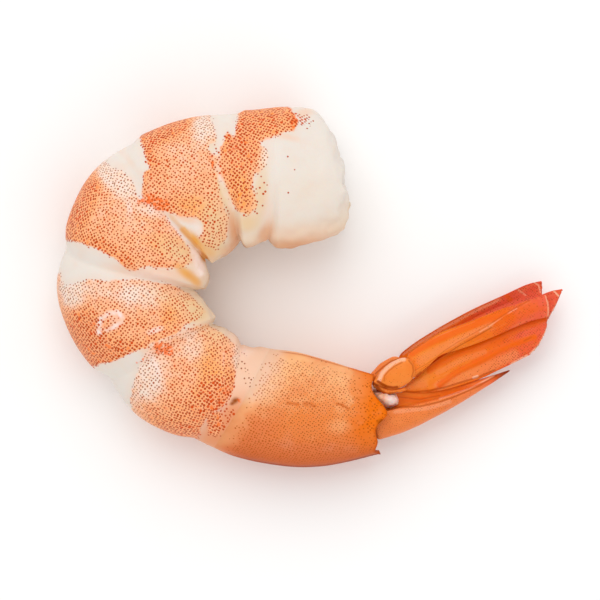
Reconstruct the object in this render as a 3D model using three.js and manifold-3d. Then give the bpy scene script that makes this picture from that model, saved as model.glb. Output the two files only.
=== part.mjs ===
// A cooked jumbo shrimp, peeled down to its last segment and with its tail left on, lying curled on its side.
// Millimetres, +Z up. The curl lies in the XY plane: neck end at upper right, back on the outside, tail at lower right.
// The origin is the middle of the object's bounding box, on the surface that the shrimp lies on.

import * as THREE from "three";
import { mergeVertices } from "three/addons/utils/BufferGeometryUtils.js";
import Module from "manifold-3d";

const wasm = await Module();
wasm.setup();

// Rings along the body, from the cut neck to the rear of the last shell. Station 0 is the neck, 1 lies between the
// neck and the first segment, 2 to 6 between the five peeled segments and the shell, and 8 at the shell's rear rim.
// facing: direction of the belly in degrees. back, belly, side: from the ring's centre to the surface.
const RINGS = [
  { x: 5.0, y: 15.7, facing: -81, back: 9.2, belly: 6.3, side: 6.9, lift: 6.8 },
  { x: -4.5, y: 16.0, facing: -84, back: 10.9, belly: 10.0, side: 8.0, lift: 8.0 },
  { x: -10.7, y: 15.5, facing: -88, back: 10.0, belly: 10.2, side: 8.2, lift: 8.1 },
  { x: -21.1, y: 11.8, facing: -52.5, back: 9.8, belly: 11.0, side: 8.3, lift: 8.2 },
  { x: -25.8, y: 1.5, facing: -10.5, back: 9.9, belly: 10.3, side: 8.2, lift: 8.3 },
  { x: -21.1, y: -9.0, facing: 27, back: 9.3, belly: 8.8, side: 7.6, lift: 7.6 },
  { x: -12.7, y: -15.3, facing: 66.5, back: 7.6, belly: 7.9, side: 6.8, lift: 6.6 },
  { x: -1.2, y: -17.2, facing: 85.5, back: 7.5, belly: 7.2, side: 6.1, lift: 6.0 },
  { x: 9.2, y: -18.0, facing: 94.5, back: 5.0, belly: 5.2, side: 4.5, lift: 5.2 },
];

// The creases between segments, each at its station. Their five values go round one side of the body, from the
// middle of the back over shoulder, hinge and flap to the middle of the belly.
// shift: how far the crease bends along the body, in stations. depth: how far it sinks, in mm.
const CREASES = [
  { shift: [-0.52, -0.1, 0.15, 0.24, 0.28], depth: [0.3, 0.3, 0.4, 1.2, 0.5] },
  { shift: [-0.03, 0.06, 0.1, 0.02, -0.15], depth: [0.5, 0.4, 0.5, 1.3, 0.5] },
  { shift: [-0.08, 0.06, 0.16, 0.04, 0.01], depth: [0.35, 0.4, 0.6, 1.6, 0.6] },
  { shift: [-0.13, -0.04, 0.0, 0.08, 0.11], depth: [0.3, 0.4, 0.5, 1.5, 0.6] },
  { shift: [0.01, 0.05, 0.05, 0.0, -0.02], depth: [0.6, 0.4, 0.5, 0.9, 0.6] },
  { shift: [-0.09, 0.02, 0.1, 0.0, -0.12], depth: [0.2, 0.3, 0.4, 0.6, 0.4] },
];
const CREASE_RISE = 0.42; // stations over which the next segment swells up behind a crease
const CREASE_FALL = 0.16; // stations over which the segment in front drops into it

// How far each stretch between creases swells at the back and at the belly: neck, five segments, shell.
const SWELLS = [
  { back: -0.4, belly: 1.4 },
  { back: -1.1, belly: 0 },
  { back: 0.1, belly: 0.1 },
  { back: 0.8, belly: 0.7 },
  { back: 1.2, belly: -0.1 },
  { back: 0.7, belly: 0 },
  { back: 1.2, belly: 0.2 },
];
const BODY_START = -1; // stations where the first and last swells begin and end
const BODY_END = 8.8;

const BELLY_TURN = 0.85; // share of the way round from back to belly at which a flap's lower edge lies
const BELLY_GROOVE = 0.12; // the groove along the middle of the belly, as a share of the belly's size
const BELLY_TAPER = 0.3; // how much narrower the body is at the belly than at its sides

const NECK_START = [0.14, 0.02, 0.0, 0.0, 0.0]; // stations at which the cut neck begins, from back to belly
const NECK_CAP = 0.32; // stations over which the cut neck end rounds off
const BLUNTNESS = 3; // how square a cut end is: 2 would be an ellipse
const NECK_ROUGHNESS = 0.55; // height of the torn lumps on the cut face, in mm
const SKIN_ROUGHNESS = 0.12;

const SHELL_WALL = 0.6;
const GAP = 0.3; // clearance between neighbouring pieces
const STEP_UNDER_SHELL = 0.08; // stations over which the flesh steps in under the shell's front rim
const SHELL_FRONT = [6.1, 6.15, 6.26, 6.4, 6.48]; // stations of the shell's rims, from back to belly
const SHELL_REAR = [8.02, 7.95, 7.99, 7.98, 8.15, 7.97, 8.0, 8.0, 8.0];
const FLESH_END = 7.88;
const FLESH_END_CAP = 0.16;

// Facets
const FLESH_AROUND = 36;
const FLESH_ROWS = 66;
const SHELL_AROUND = 40;
const SHELL_ROWS = 14;
const MERGE = 1e-4; // vertices nearer than this are one

const FLESH_LOOK = { color: 0xf3c3a2, roughness: 0.45, metalness: 0 };
const SHELL_LOOK = { color: 0xe98a4c, roughness: 0.35, metalness: 0 };
const FIN_LOOK = { color: 0xe8672f, roughness: 0.35, metalness: 0 };

// Shared shape functions

const clamp01 = (x) => Math.min(Math.max(x, 0), 1);

function ease(from, to, x) {
  const t = clamp01((x - from) / (to - from));
  return t * t * (3 - 2 * t);
}

// A smooth curve through evenly spaced values, read at position p, counted in values from the first.
function smoothThrough(values, p) {
  const last = values.length - 1;
  const k = Math.min(Math.max(Math.floor(p), 0), last - 1);
  const t = p - k;
  const b = values[k];
  const c = values[k + 1];
  const a = k > 0 ? values[k - 1] : 2 * b - c;
  const d = k + 2 <= last ? values[k + 2] : 2 * c - b;
  return 0.5 * (2 * b + (c - a) * t + (2 * a - 5 * b + 4 * c - d) * t * t + (3 * b - a - 3 * c + d) * t * t * t);
}

// The same for every field of a table's rows.
function rowAt(rows, p) {
  const row = {};
  for (const field of Object.keys(rows[0])) {
    row[field] = smoothThrough(rows.map((r) => r[field]), p);
  }
  return row;
}

// Closes a loft at one end: grows from 0 to 1 over the given reach.
function roundEnd(distance, reach, bluntness = BLUNTNESS) {
  return (1 - (1 - clamp01(distance / reach)) ** bluntness) ** (1 / bluntness);
}

// Where along its reach a blunt end has grown to the given size.
function roundEndAt(size, reach) {
  return reach * (1 - (1 - size ** BLUNTNESS) ** (1 / BLUNTNESS));
}

// Slow, even lumps in three directions, between about -1 and 1.
function lumps(x, y, z) {
  const broad = Math.sin(0.9 * x + 0.4 * y + 1) * Math.sin(0.8 * y - 0.5 * z) * Math.sin(0.9 * z + 0.3 * x + 2);
  const narrow = Math.sin(2.1 * x - 1.3 * y) * Math.sin(1.7 * y + 1.9 * z + 1) * Math.sin(2.3 * z - 1.1 * x);
  return broad + 0.7 * narrow;
}

// The body's surface

// How deep the nearest crease is, and how much the stretch swells, at a station and a share of the way round.
function segmentRelief(station, share) {
  const round = 4 * share;
  const places = CREASES.map((crease, i) => i + 1 + smoothThrough(crease.shift, round));
  let sink = 0;
  places.forEach((place, i) => {
    const beyond = station - place;
    const left = beyond > 0 ? ease(0, CREASE_RISE, beyond) : ease(0, CREASE_FALL, -beyond);
    sink = Math.max(sink, smoothThrough(CREASES[i].depth, round) * (1 - left));
  });
  const ends = [BODY_START, ...places, BODY_END];
  const stretch = Math.min(places.filter((place) => place <= station).length, SWELLS.length - 1);
  const along = clamp01((station - ends[stretch]) / (ends[stretch + 1] - ends[stretch]));
  const toBelly = ease(0.2, 0.8, share);
  const swell = SWELLS[stretch].back * (1 - toBelly) + SWELLS[stretch].belly * toBelly;
  return swell * Math.sin(Math.PI * along) ** 0.8 - sink;
}

// A point of the body. turn runs from 0 at the back over the upper side, the belly at PI and the lower side.
// sunk: how far the point lies under the body's own surface. size: 1, or less where the loft closes at an end.
function bodyPoint(station, turn, sunk = 0, size = 1) {
  const ring = rowAt(RINGS, station);
  const share = Math.abs(turn > Math.PI ? turn - 2 * Math.PI : turn) / Math.PI;
  let down = -Math.cos(turn) * ring.back;
  if (share > 0.5) {
    const toEdge = Math.sin((clamp01((share - 0.5) / (BELLY_TURN - 0.5)) * Math.PI) / 2);
    down = ring.belly * (toEdge - BELLY_GROOVE * ease(BELLY_TURN, 1, share));
  }
  const out = Math.sin(turn) * ring.side * (1 - BELLY_TAPER * ease(0.5, 1, share));
  const reach = Math.hypot(down, out);
  const grown = (1 + (segmentRelief(station, share) - sunk) / reach) * size;
  const facing = THREE.MathUtils.degToRad(ring.facing);
  return new THREE.Vector3(
    ring.x + Math.cos(facing) * down * grown,
    ring.y + Math.sin(facing) * down * grown,
    ring.lift + out * grown,
  );
}

// What dips below the surface that the shrimp lies on is pressed flat against it, or against what lies under it.
function pressedFlat(point, under = 0) {
  return point.setZ(Math.max(point.z, under));
}

// Closed meshes

// Moves every vertex of a closed three.js geometry to place(u, v), where u goes round and v along.
function remapped(geometry, place) {
  const uv = geometry.getAttribute("uv");
  const position = geometry.getAttribute("position");
  for (let i = 0; i < position.count; i++) {
    const p = place(clamp01(uv.getX(i)), clamp01(uv.getY(i)));
    position.setXYZ(i, p.x, p.y, p.z);
  }
  geometry.deleteAttribute("uv");
  geometry.deleteAttribute("normal");
  return facingOut(mergeVertices(geometry, MERGE));
}

function facingOut(geometry) {
  const p = geometry.getAttribute("position");
  const index = geometry.index.array;
  const [a, b, c] = [new THREE.Vector3(), new THREE.Vector3(), new THREE.Vector3()];
  let volume = 0;
  for (let i = 0; i < index.length; i += 3) {
    a.fromBufferAttribute(p, index[i]);
    b.fromBufferAttribute(p, index[i + 1]);
    c.fromBufferAttribute(p, index[i + 2]);
    volume += a.dot(b.cross(c));
  }
  if (volume < 0) {
    geometry.setIndex([...index].reverse());
  }
  return geometry;
}

// A closed loft: rows is a list of places along it, the first and last of which are single points.
function loft(rows, around, place) {
  const along = rows.length - 1;
  const ball = new THREE.SphereGeometry(1, around, along);
  return remapped(ball, (u, v) => {
    const row = Math.round((1 - v) * along);
    const isPole = row === 0 || row === along;
    return place(rows[row], isPole ? 0 : u * 2 * Math.PI);
  });
}

// A closed tube with a wall: loop is a list of places round the wall's own section.
function walledTube(loop, around, place) {
  const ring = new THREE.TorusGeometry(2, 1, loop.length, around);
  return remapped(ring, (u, v) => place(loop[Math.round(v * loop.length) % loop.length], u * 2 * Math.PI));
}

function steps(from, to, count) {
  return Array.from({ length: count + 1 }, (_, i) => from + ((to - from) * i) / count);
}

function toSolid(geometry) {
  return new wasm.Manifold(
    new wasm.Mesh({
      numProp: 3,
      vertProperties: new Float32Array(geometry.getAttribute("position").array),
      triVerts: new Uint32Array(geometry.index.array),
    }),
  );
}

function toGeometry(solid) {
  const mesh = solid.getMesh();
  const vertices = new Float32Array(mesh.numVert * 3);
  for (let i = 0; i < mesh.numVert; i++) {
    vertices.set(mesh.vertProperties.subarray(i * mesh.numProp, i * mesh.numProp + 3), i * 3);
  }
  return new THREE.BufferGeometry()
    .setAttribute("position", new THREE.BufferAttribute(vertices, 3))
    .setIndex(new THREE.BufferAttribute(mesh.triVerts, 1));
}

// Peeled flesh, from the torn neck end through the last shell

function fleshPoint(row, turn) {
  const share = Math.abs(turn > Math.PI ? turn - 2 * Math.PI : turn) / Math.PI;
  const station = row + smoothThrough(NECK_START, 4 * share) * (1 - ease(0, 1, row));
  const front = smoothThrough(SHELL_FRONT, 4 * share);
  const underShell = ease(front - STEP_UNDER_SHELL, front, station) * (SHELL_WALL + GAP);
  const size = roundEnd(row, NECK_CAP) * roundEnd(FLESH_END - station, FLESH_END_CAP);
  const p = bodyPoint(station, turn, underShell, size);
  const torn = NECK_ROUGHNESS * (1 - ease(0.1, 0.9, station)) + SKIN_ROUGHNESS;
  const rough = torn * lumps(p.x, p.y, p.z) * (1 - ease(front - 0.3, front, station));
  const neckWay = THREE.MathUtils.degToRad(RINGS[0].facing + 90);
  const onFace = 1 - ease(0, NECK_CAP, row);
  const centre = bodyPoint(station, turn, 0, 0);
  const outward = p.clone().sub(centre);
  outward.multiplyScalar(1 / Math.max(outward.length(), 1)).multiplyScalar(1 - onFace);
  outward.x += Math.cos(neckWay) * onFace;
  outward.y += Math.sin(neckWay) * onFace;
  return pressedFlat(p.addScaledVector(outward, rough), underShell);
}

// The white joint tissue that shows behind the shell, between the telson and the near stalk.
const TISSUE = { x: 10.0, y: -15.7, z: 5.1, long: 3.2, high: 1.5, wide: 2.8, tilt: -0.2 };

function jointTissue(grown = 0) {
  const tissue = new THREE.SphereGeometry(1, 14, 8);
  tissue.scale(TISSUE.long + grown, TISSUE.high + grown, TISSUE.wide + grown);
  tissue.rotateZ(TISSUE.tilt);
  tissue.translate(TISSUE.x, TISSUE.y, TISSUE.z);
  tissue.deleteAttribute("uv");
  tissue.deleteAttribute("normal");
  return toSolid(mergeVertices(tissue, MERGE));
}

function flesh() {
  const neckSizes = [0, 0.2, 0.4, 0.58, 0.74, 0.87, 0.95, 1];
  const endSizes = [0.9, 0.5, 0];
  const inShell = SHELL_FRONT.at(-1) + GAP;
  const rows = [
    ...neckSizes.map((size) => roundEndAt(size, NECK_CAP)),
    ...steps(NECK_CAP, inShell - GAP, FLESH_ROWS).slice(1),
    ...steps(inShell, FLESH_END - FLESH_END_CAP, 3),
    ...endSizes.map((size) => FLESH_END - roundEndAt(size, FLESH_END_CAP)),
  ];
  return toSolid(loft(rows, FLESH_AROUND, fleshPoint)).add(jointTissue());
}

// Shell of the last segment, a thin tube round the flesh with a lobe on each side of its rear rim

function tailShell() {
  const loop = [
    ...steps(0, 1, SHELL_ROWS).map((t) => ({ t, under: 0 })),
    ...steps(1, 0, SHELL_ROWS).map((t) => ({ t, under: SHELL_WALL })),
  ];
  const tube = walledTube(loop, SHELL_AROUND, ({ t, under }, turn) => {
    const share = Math.abs(turn > Math.PI ? turn - 2 * Math.PI : turn) / Math.PI;
    const front = smoothThrough(SHELL_FRONT, 4 * share);
    const rear = smoothThrough(SHELL_REAR, 8 * share);
    return pressedFlat(bodyPoint(front + (rear - front) * t, turn, under), under);
  });
  return toSolid(tube).subtract(jointTissue(GAP));
}

// The room that the shell and the clearance round it take up.
function shellRoom() {
  const rows = steps(SHELL_FRONT[0], Math.max(...SHELL_REAR), SHELL_ROWS);
  rows.unshift(rows[0]);
  rows.push(rows.at(-1));
  return toSolid(loft(rows, SHELL_AROUND, (station, turn) => bodyPoint(station, turn, -GAP)));
}

// Tail fan

// A frame on a tail piece's centre line: along it, across it in the plane of the curl, and the place itself.
function onLine(table, t) {
  const last = table.length - 1;
  const p = t * last;
  const row = rowAt(table, p);
  const before = rowAt(table, Math.max(p - 0.05, 0));
  const after = rowAt(table, Math.min(p + 0.05, last));
  const along = new THREE.Vector3(after.x - before.x, after.y - before.y, 0).normalize();
  const across = new THREE.Vector3(-along.y, along.x, 0);
  return { row, along, across, place: new THREE.Vector3(row.x, row.y, row.z) };
}

// Telson: the pointed middle piece on the outside of the curl. high is across the curl, wide is along Z.
const TELSON = [
  { x: 8.4, y: -19.3, z: 5.3, high: 3.0, wide: 2.6 },
  { x: 12.6, y: -18.15, z: 5.2, high: 2.85, wide: 2.8 },
  { x: 16.6, y: -16.95, z: 5.0, high: 2.2, wide: 2.4 },
  { x: 20.6, y: -15.6, z: 4.9, high: 1.45, wide: 1.8 },
  { x: 24.6, y: -13.95, z: 4.7, high: 0.7, wide: 1.1 },
  { x: 28.5, y: -12.1, z: 4.6, high: 0.12, wide: 0.3 },
];
const TELSON_MARGIN = 0.3; // half thickness of the margin beyond the fold that ends the telson's back
const MARGIN_DROP = 0.7; // how far the margin lies below the telson's middle

function telson() {
  return toSolid(
    loft(steps(0, 1, 18), 32, (t, turn) => {
      const { row, across, place } = onLine(TELSON, t);
      const size = roundEnd(t, 0.04, 3) * roundEnd(1 - t, 0.02, 2);
      const foldAt = 0.35 * (1 - t);
      const inMargin = ease(foldAt - 0.1, foldAt + 0.1, Math.cos(turn)) * (1 - ease(0.6, 0.9, t));
      const full = Math.abs(Math.sin(turn)) * row.wide;
      const half = full * (1 - inMargin) + Math.min(full, TELSON_MARGIN) * inMargin;
      place.addScaledVector(across, Math.cos(turn) * row.high * size);
      place.z += (Math.sign(Math.sin(turn)) * half - MARGIN_DROP * inMargin) * size;
      return place;
    }),
  ).subtract(jointTissue(GAP));
}

// Stalks: the short thick pieces that carry two blades each.
const NEAR_STALK = [
  { x: 9.2, y: -13.3, z: 7.3, half: 0.7 },
  { x: 10.5, y: -12.85, z: 7.5, half: 1.45 },
  { x: 12.0, y: -12.55, z: 7.6, half: 2.0 },
  { x: 13.4, y: -12.1, z: 7.5, half: 1.95 },
  { x: 14.7, y: -12.05, z: 7.3, half: 1.5 },
];
const FAR_STALK = [
  { x: 7.8, y: -13.0, z: 3.4, half: 0.4 },
  { x: 9.2, y: -12.7, z: 3.0, half: 0.9 },
  { x: 10.6, y: -12.4, z: 2.8, half: 1.7 },
  { x: 12.0, y: -11.9, z: 2.8, half: 1.8 },
  { x: 13.2, y: -11.5, z: 3.0, half: 1.3 },
];
const STALK_HALF_THICK = 1.0;

function stalk(table, grown = 0) {
  return toSolid(
    loft(steps(0, 1, 9), 16, (t, turn) => {
      const { row, along, across, place } = onLine(table, t);
      const size = roundEnd(t, 0.14, 2) * roundEnd(1 - t, 0.14, 2);
      place.addScaledVector(along, grown * (2 * t - 1));
      place.addScaledVector(across, Math.cos(turn) * (row.half * size + grown));
      place.z += Math.sin(turn) * (STALK_HALF_THICK * size + grown);
      return place;
    }),
  );
}

// Blades: thin, arched leaves with a rib along the middle.
const NEAR_EXOPOD = [
  { x: 13.6, y: -12.0, z: 7.3, half: 1.8 },
  { x: 19.0, y: -8.0, z: 7.4, half: 1.55 },
  { x: 24.2, y: -5.9, z: 7.2, half: 1.5 },
  { x: 29.1, y: -4.15, z: 6.8, half: 1.5 },
  { x: 34.0, y: -2.75, z: 6.3, half: 1.5 },
];
const NEAR_ENDOPOD = [
  { x: 12.6, y: -14.7, z: 5.7, half: 0.35 },
  { x: 17.8, y: -13.0, z: 6.0, half: 2.1 },
  { x: 22.9, y: -10.9, z: 6.0, half: 2.7 },
  { x: 28.1, y: -8.7, z: 5.7, half: 2.65 },
  { x: 33.0, y: -7.35, z: 5.3, half: 2.3 },
];
const FAR_ENDOPOD = [
  { x: 14.4, y: -14.0, z: 3.8, half: 0.8 },
  { x: 19.5, y: -11.4, z: 3.9, half: 1.7 },
  { x: 24.8, y: -8.6, z: 4.0, half: 2.2 },
  { x: 30.1, y: -5.6, z: 4.2, half: 2.2 },
  { x: 35.4, y: -2.5, z: 4.3, half: 1.5 },
];
const FAR_EXOPOD = [
  { x: 12.4, y: -11.3, z: 2.6, half: 0.9 },
  { x: 17.7, y: -8.25, z: 2.5, half: 1.6 },
  { x: 22.6, y: -5.55, z: 2.7, half: 1.75 },
  { x: 27.4, y: -3.15, z: 3.0, half: 1.75 },
  { x: 33.1, y: -0.7, z: 3.2, half: 1.4 },
];
const BLADE_HALF_THICK = 0.26;
const BLADE_ARCH = 0.4; // how far a blade's edges curve towards the middle of the fan
const BLADE_RIB = 0.2;
const RIB_HALF_WIDTH = 0.2; // as a share of the blade's half width
const BLADE_ROWS = [0, 0.02, ...steps(0.06, 0.94, 15), 0.97, 0.985, 0.995, 1];

// outer is 1 for a blade whose rounded face looks up, and -1 for one whose rounded face looks down.
// slant: how far the tip's upper corner runs ahead of its middle, as a share of the tip's half width.
function blade(table, outer, slant) {
  return toSolid(
    loft(BLADE_ROWS, 18, (t, turn) => {
      const { row, along, across, place } = onLine(table, t);
      const size = roundEnd(t, 0.1, 2) * roundEnd(1 - t, 0.05, 2.5);
      const sideways = Math.cos(turn);
      const thick = Math.sign(Math.sin(turn)) * Math.abs(Math.sin(turn)) ** 0.6 * BLADE_HALF_THICK;
      const rib = BLADE_RIB * Math.exp(-((sideways / RIB_HALF_WIDTH) ** 2)) * (1 - t) ** 0.5;
      place.addScaledVector(along, slant * ease(0.5, 1, t) * sideways * row.half * size);
      place.addScaledVector(across, sideways * row.half * size);
      place.z += thick * size + outer * (rib - BLADE_ARCH * sideways ** 2) * size;
      return place;
    }),
  );
}

// The whole shrimp

function addPiece(group, name, solid, look) {
  const mesh = new THREE.Mesh(toGeometry(solid), new THREE.MeshStandardMaterial(look));
  mesh.geometry.computeVertexNormals();
  mesh.name = name;
  group.add(mesh);
}

const body = new THREE.Group();
addPiece(body, "flesh", flesh(), FLESH_LOOK);
addPiece(body, "tail_shell", tailShell(), SHELL_LOOK);

const tailFan = new THREE.Group();
const room = shellRoom().add(jointTissue(GAP));
const nearRoom = stalk(NEAR_STALK, GAP);
const farRoom = stalk(FAR_STALK, GAP);
addPiece(tailFan, "telson", telson(), FIN_LOOK);
addPiece(tailFan, "near_stalk", stalk(NEAR_STALK).subtract(room), FIN_LOOK);
addPiece(tailFan, "near_exopod", blade(NEAR_EXOPOD, 1, 0.15).subtract(nearRoom), FIN_LOOK);
addPiece(tailFan, "near_endopod", blade(NEAR_ENDOPOD, 1, 0.9).subtract(nearRoom), FIN_LOOK);
addPiece(tailFan, "far_stalk", stalk(FAR_STALK).subtract(room), FIN_LOOK);
addPiece(tailFan, "far_exopod", blade(FAR_EXOPOD, -1, 0.55).subtract(farRoom), FIN_LOOK);
addPiece(tailFan, "far_endopod", blade(FAR_ENDOPOD, -1, 1.5).subtract(farRoom), FIN_LOOK);

// The group is placed so that the box round the whole shrimp stands centred on the origin.
const shrimp = new THREE.Group();
shrimp.add(body, tailFan);
const box = new THREE.Box3().setFromObject(shrimp);
shrimp.position.set(-(box.min.x + box.max.x) / 2, -(box.min.y + box.max.y) / 2, -box.min.z);

const part = new THREE.Group();
part.add(shrimp);

export default part;
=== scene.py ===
# A cooked jumbo shrimp, peeled down to its last segment and with its tail left on, lying curled on its side.

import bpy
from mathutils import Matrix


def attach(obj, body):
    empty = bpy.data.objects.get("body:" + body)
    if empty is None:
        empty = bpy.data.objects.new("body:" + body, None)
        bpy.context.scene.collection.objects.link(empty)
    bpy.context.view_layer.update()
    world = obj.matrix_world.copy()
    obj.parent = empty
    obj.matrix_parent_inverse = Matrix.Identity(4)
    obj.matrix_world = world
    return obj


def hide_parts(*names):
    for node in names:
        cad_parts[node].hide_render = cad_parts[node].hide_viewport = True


bl_info = {
    "name": "Cooked Tail-On Shrimp",
    "version": (1, 0, 0),
    "blender": (4, 5, 0),
    "location": "View3D > Sidebar > Shrimp",
    "description": "Builds a cooked jumbo shrimp over its solid model, and a plain studio to look at it in",
    "category": "Add Mesh",
}

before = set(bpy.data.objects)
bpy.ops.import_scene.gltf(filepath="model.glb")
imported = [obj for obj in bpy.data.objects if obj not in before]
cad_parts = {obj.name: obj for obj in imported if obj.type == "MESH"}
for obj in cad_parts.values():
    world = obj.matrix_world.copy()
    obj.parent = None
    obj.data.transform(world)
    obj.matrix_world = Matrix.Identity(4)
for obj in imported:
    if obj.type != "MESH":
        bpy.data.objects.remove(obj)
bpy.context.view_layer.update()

import itertools
import math

import bmesh
import bpy
import numpy as np
from bpy.props import FloatProperty, FloatVectorProperty, PointerProperty
from mathutils import Vector

BODY = "root"
MM = 0.001

# Everything is drawn in millimetres, with the curl in the XY plane. Outlines are read off the photograph,
# which looks straight down on that plane, in its pixels.
PIXELS_PER_MM = 7.0
PICTURE_PIXELS = 600
PIXEL_AT_ORIGIN = (311.5, 286.0)  # the pixel over the drawing's origin
TO_PART = (0.1447, -0.1087, 0.0)  # from the drawing's origin to the part's own

# Rings along the body, from the cut neck to the rear of the last shell: x, y, the direction of the belly in
# degrees, how far the back, the belly and the sides lie from the ring's centre, and the centre's height. A
# station is a place along the body, counted in rings from the first.
RINGS = [
    (5.0, 15.7, -81, 9.2, 6.3, 6.9, 6.8),
    (-4.5, 16.0, -84, 10.5, 10.0, 8.0, 8.0),
    (-10.7, 15.5, -88, 9.6, 10.2, 8.2, 8.1),
    (-21.1, 11.8, -52.5, 9.8, 11.0, 8.3, 8.2),
    (-25.8, 1.5, -10.5, 9.9, 10.3, 8.2, 8.3),
    (-21.1, -9.0, 27, 9.3, 8.8, 7.6, 7.6),
    (-12.7, -15.3, 66.5, 7.6, 7.9, 6.8, 6.6),
    (-1.2, -17.2, 85.5, 7.5, 7.2, 6.1, 6.0),
    (9.2, -18.0, 94.5, 5.0, 5.2, 4.5, 5.2),
]

# The creases between segments. Each has five values from the middle of the back round to the middle of the
# belly: how far it bends along the body, in stations, and how deep it is, in mm.
CREASES = [
    ((-0.52, -0.1, 0.12, 0.3, 0.4), (0.25, 0.15, 0.15, 0.9, 0.5)),
    ((-0.03, 0.06, 0.1, 0.02, -0.15), (0.5, 0.4, 0.5, 1.3, 0.5)),
    ((-0.08, 0.06, 0.16, 0.04, 0.01), (0.35, 0.4, 0.5, 1.1, 0.5)),
    ((-0.13, -0.04, 0.0, 0.08, 0.11), (0.3, 0.4, 0.5, 1.2, 0.5)),
    ((0.01, 0.05, 0.05, 0.0, -0.02), (0.6, 0.4, 0.5, 0.9, 0.6)),
    ((-0.09, 0.02, 0.1, 0.0, -0.12), (0.2, 0.3, 0.4, 0.6, 0.4)),
]
# How far a crease reaches towards the tail and towards the neck, in stations.
CREASE_RISE = 0.42
CREASE_FALL = 0.16
# How far the body swells between its creases, in mm, at the back and at the belly, and the stations where
# its first stretch begins and its last one ends.
SWELLS = [(-0.4, 1.2), (-1.1, 0.1), (0.1, 0.1), (0.8, 0.7), (1.2, -0.1), (0.7, 0.0), (1.2, 0.2)]
BODY_START = -1.0
BODY_END = 8.8
# The share of a half turn at which the belly lies deepest, the depth of the groove along its middle, and how
# much narrower it is there, both as shares of the body's size.
BELLY_TURN = 0.85
BELLY_GROOVE = 0.12
BELLY_TAPER = 0.3

# Where the flesh and the last shell begin and end, in stations. Edges that bend have values from the middle
# of the back to the middle of the belly. A cap is how much of an end is rounded off.
NECK_START = (0.14, 0.02, 0.0, 0.0, 0.0)
NECK_CAP = 0.32
SHELL_FRONT = (6.1, 6.15, 6.26, 6.4, 6.48)
SHELL_REAR = (8.02, 7.95, 7.99, 7.98, 8.15, 7.97, 8.0, 8.0, 8.0)
FLESH_END = 7.88
FLESH_END_CAP = 0.16

# The edge of the torn neck in the photograph.
NECK_EDGE = [
    (300, 100), (313, 109), (321, 113), (325, 120), (328, 130), (335, 135), (342, 143), (343, 152),
    (345, 165), (343, 185), (347, 192), (350, 205), (347, 212), (350, 219), (345, 225), (343, 230),
    (334, 237), (322, 243),
]

# The flesh's relief in mm: lumps low on the sides, scars and smears, and the fine line in each crease.
BELLY_LUMPS = 0.22
SCAR_HEIGHT = 0.1
CREASE_LINE = 0.18

# The shell's relief in mm: how deep the flesh lies under it, how far its front edge is tucked in, its lumps,
# its rear rim, the ridge of its keel, the line low on its sides, and the lines pressed into it.
SHELL_COVER = 0.45
SHELL_TUCK = 0.02
SHELL_LUMPS = 0.05
RIM_HEIGHT = 0.1
KEEL_HEIGHT = 0.15
SIDE_LINE_HEIGHT = 0.1
PRESSED_DEPTH = 0.05
# The share of a half turn at which the line low on the shell's sides runs, and how wide the shell's rear rim
# is, as a share of its length.
SIDE_LINE = 0.8
RIM_WIDTH = 0.012
# Above this height, in mm, a point of the shell is on the near side.
SHELL_MIDDLE = 6

# How many rows of points each surface has along it, and how many columns round it. The flesh has its rows in
# four stretches: the rounded neck, the open flesh, the flesh under the shell, and its rounded end.
NECK_ROWS = 27
OPEN_ROWS = 352
COVERED_ROWS = 12
END_ROWS = 9
SHELL_ROWS = 190
BODY_COLUMNS = 221
TELSON_GRID = (221, 161)
TISSUE_GRID = (65, 97)
STALK_GRID = (121, 129)
BLADE_GRID = (261, 181)
MERGE_DISTANCE = 2e-7  # points closer than this, in metres, become one
VIEW_SPACING = 100.0  # mm between the views on a skin map

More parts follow.
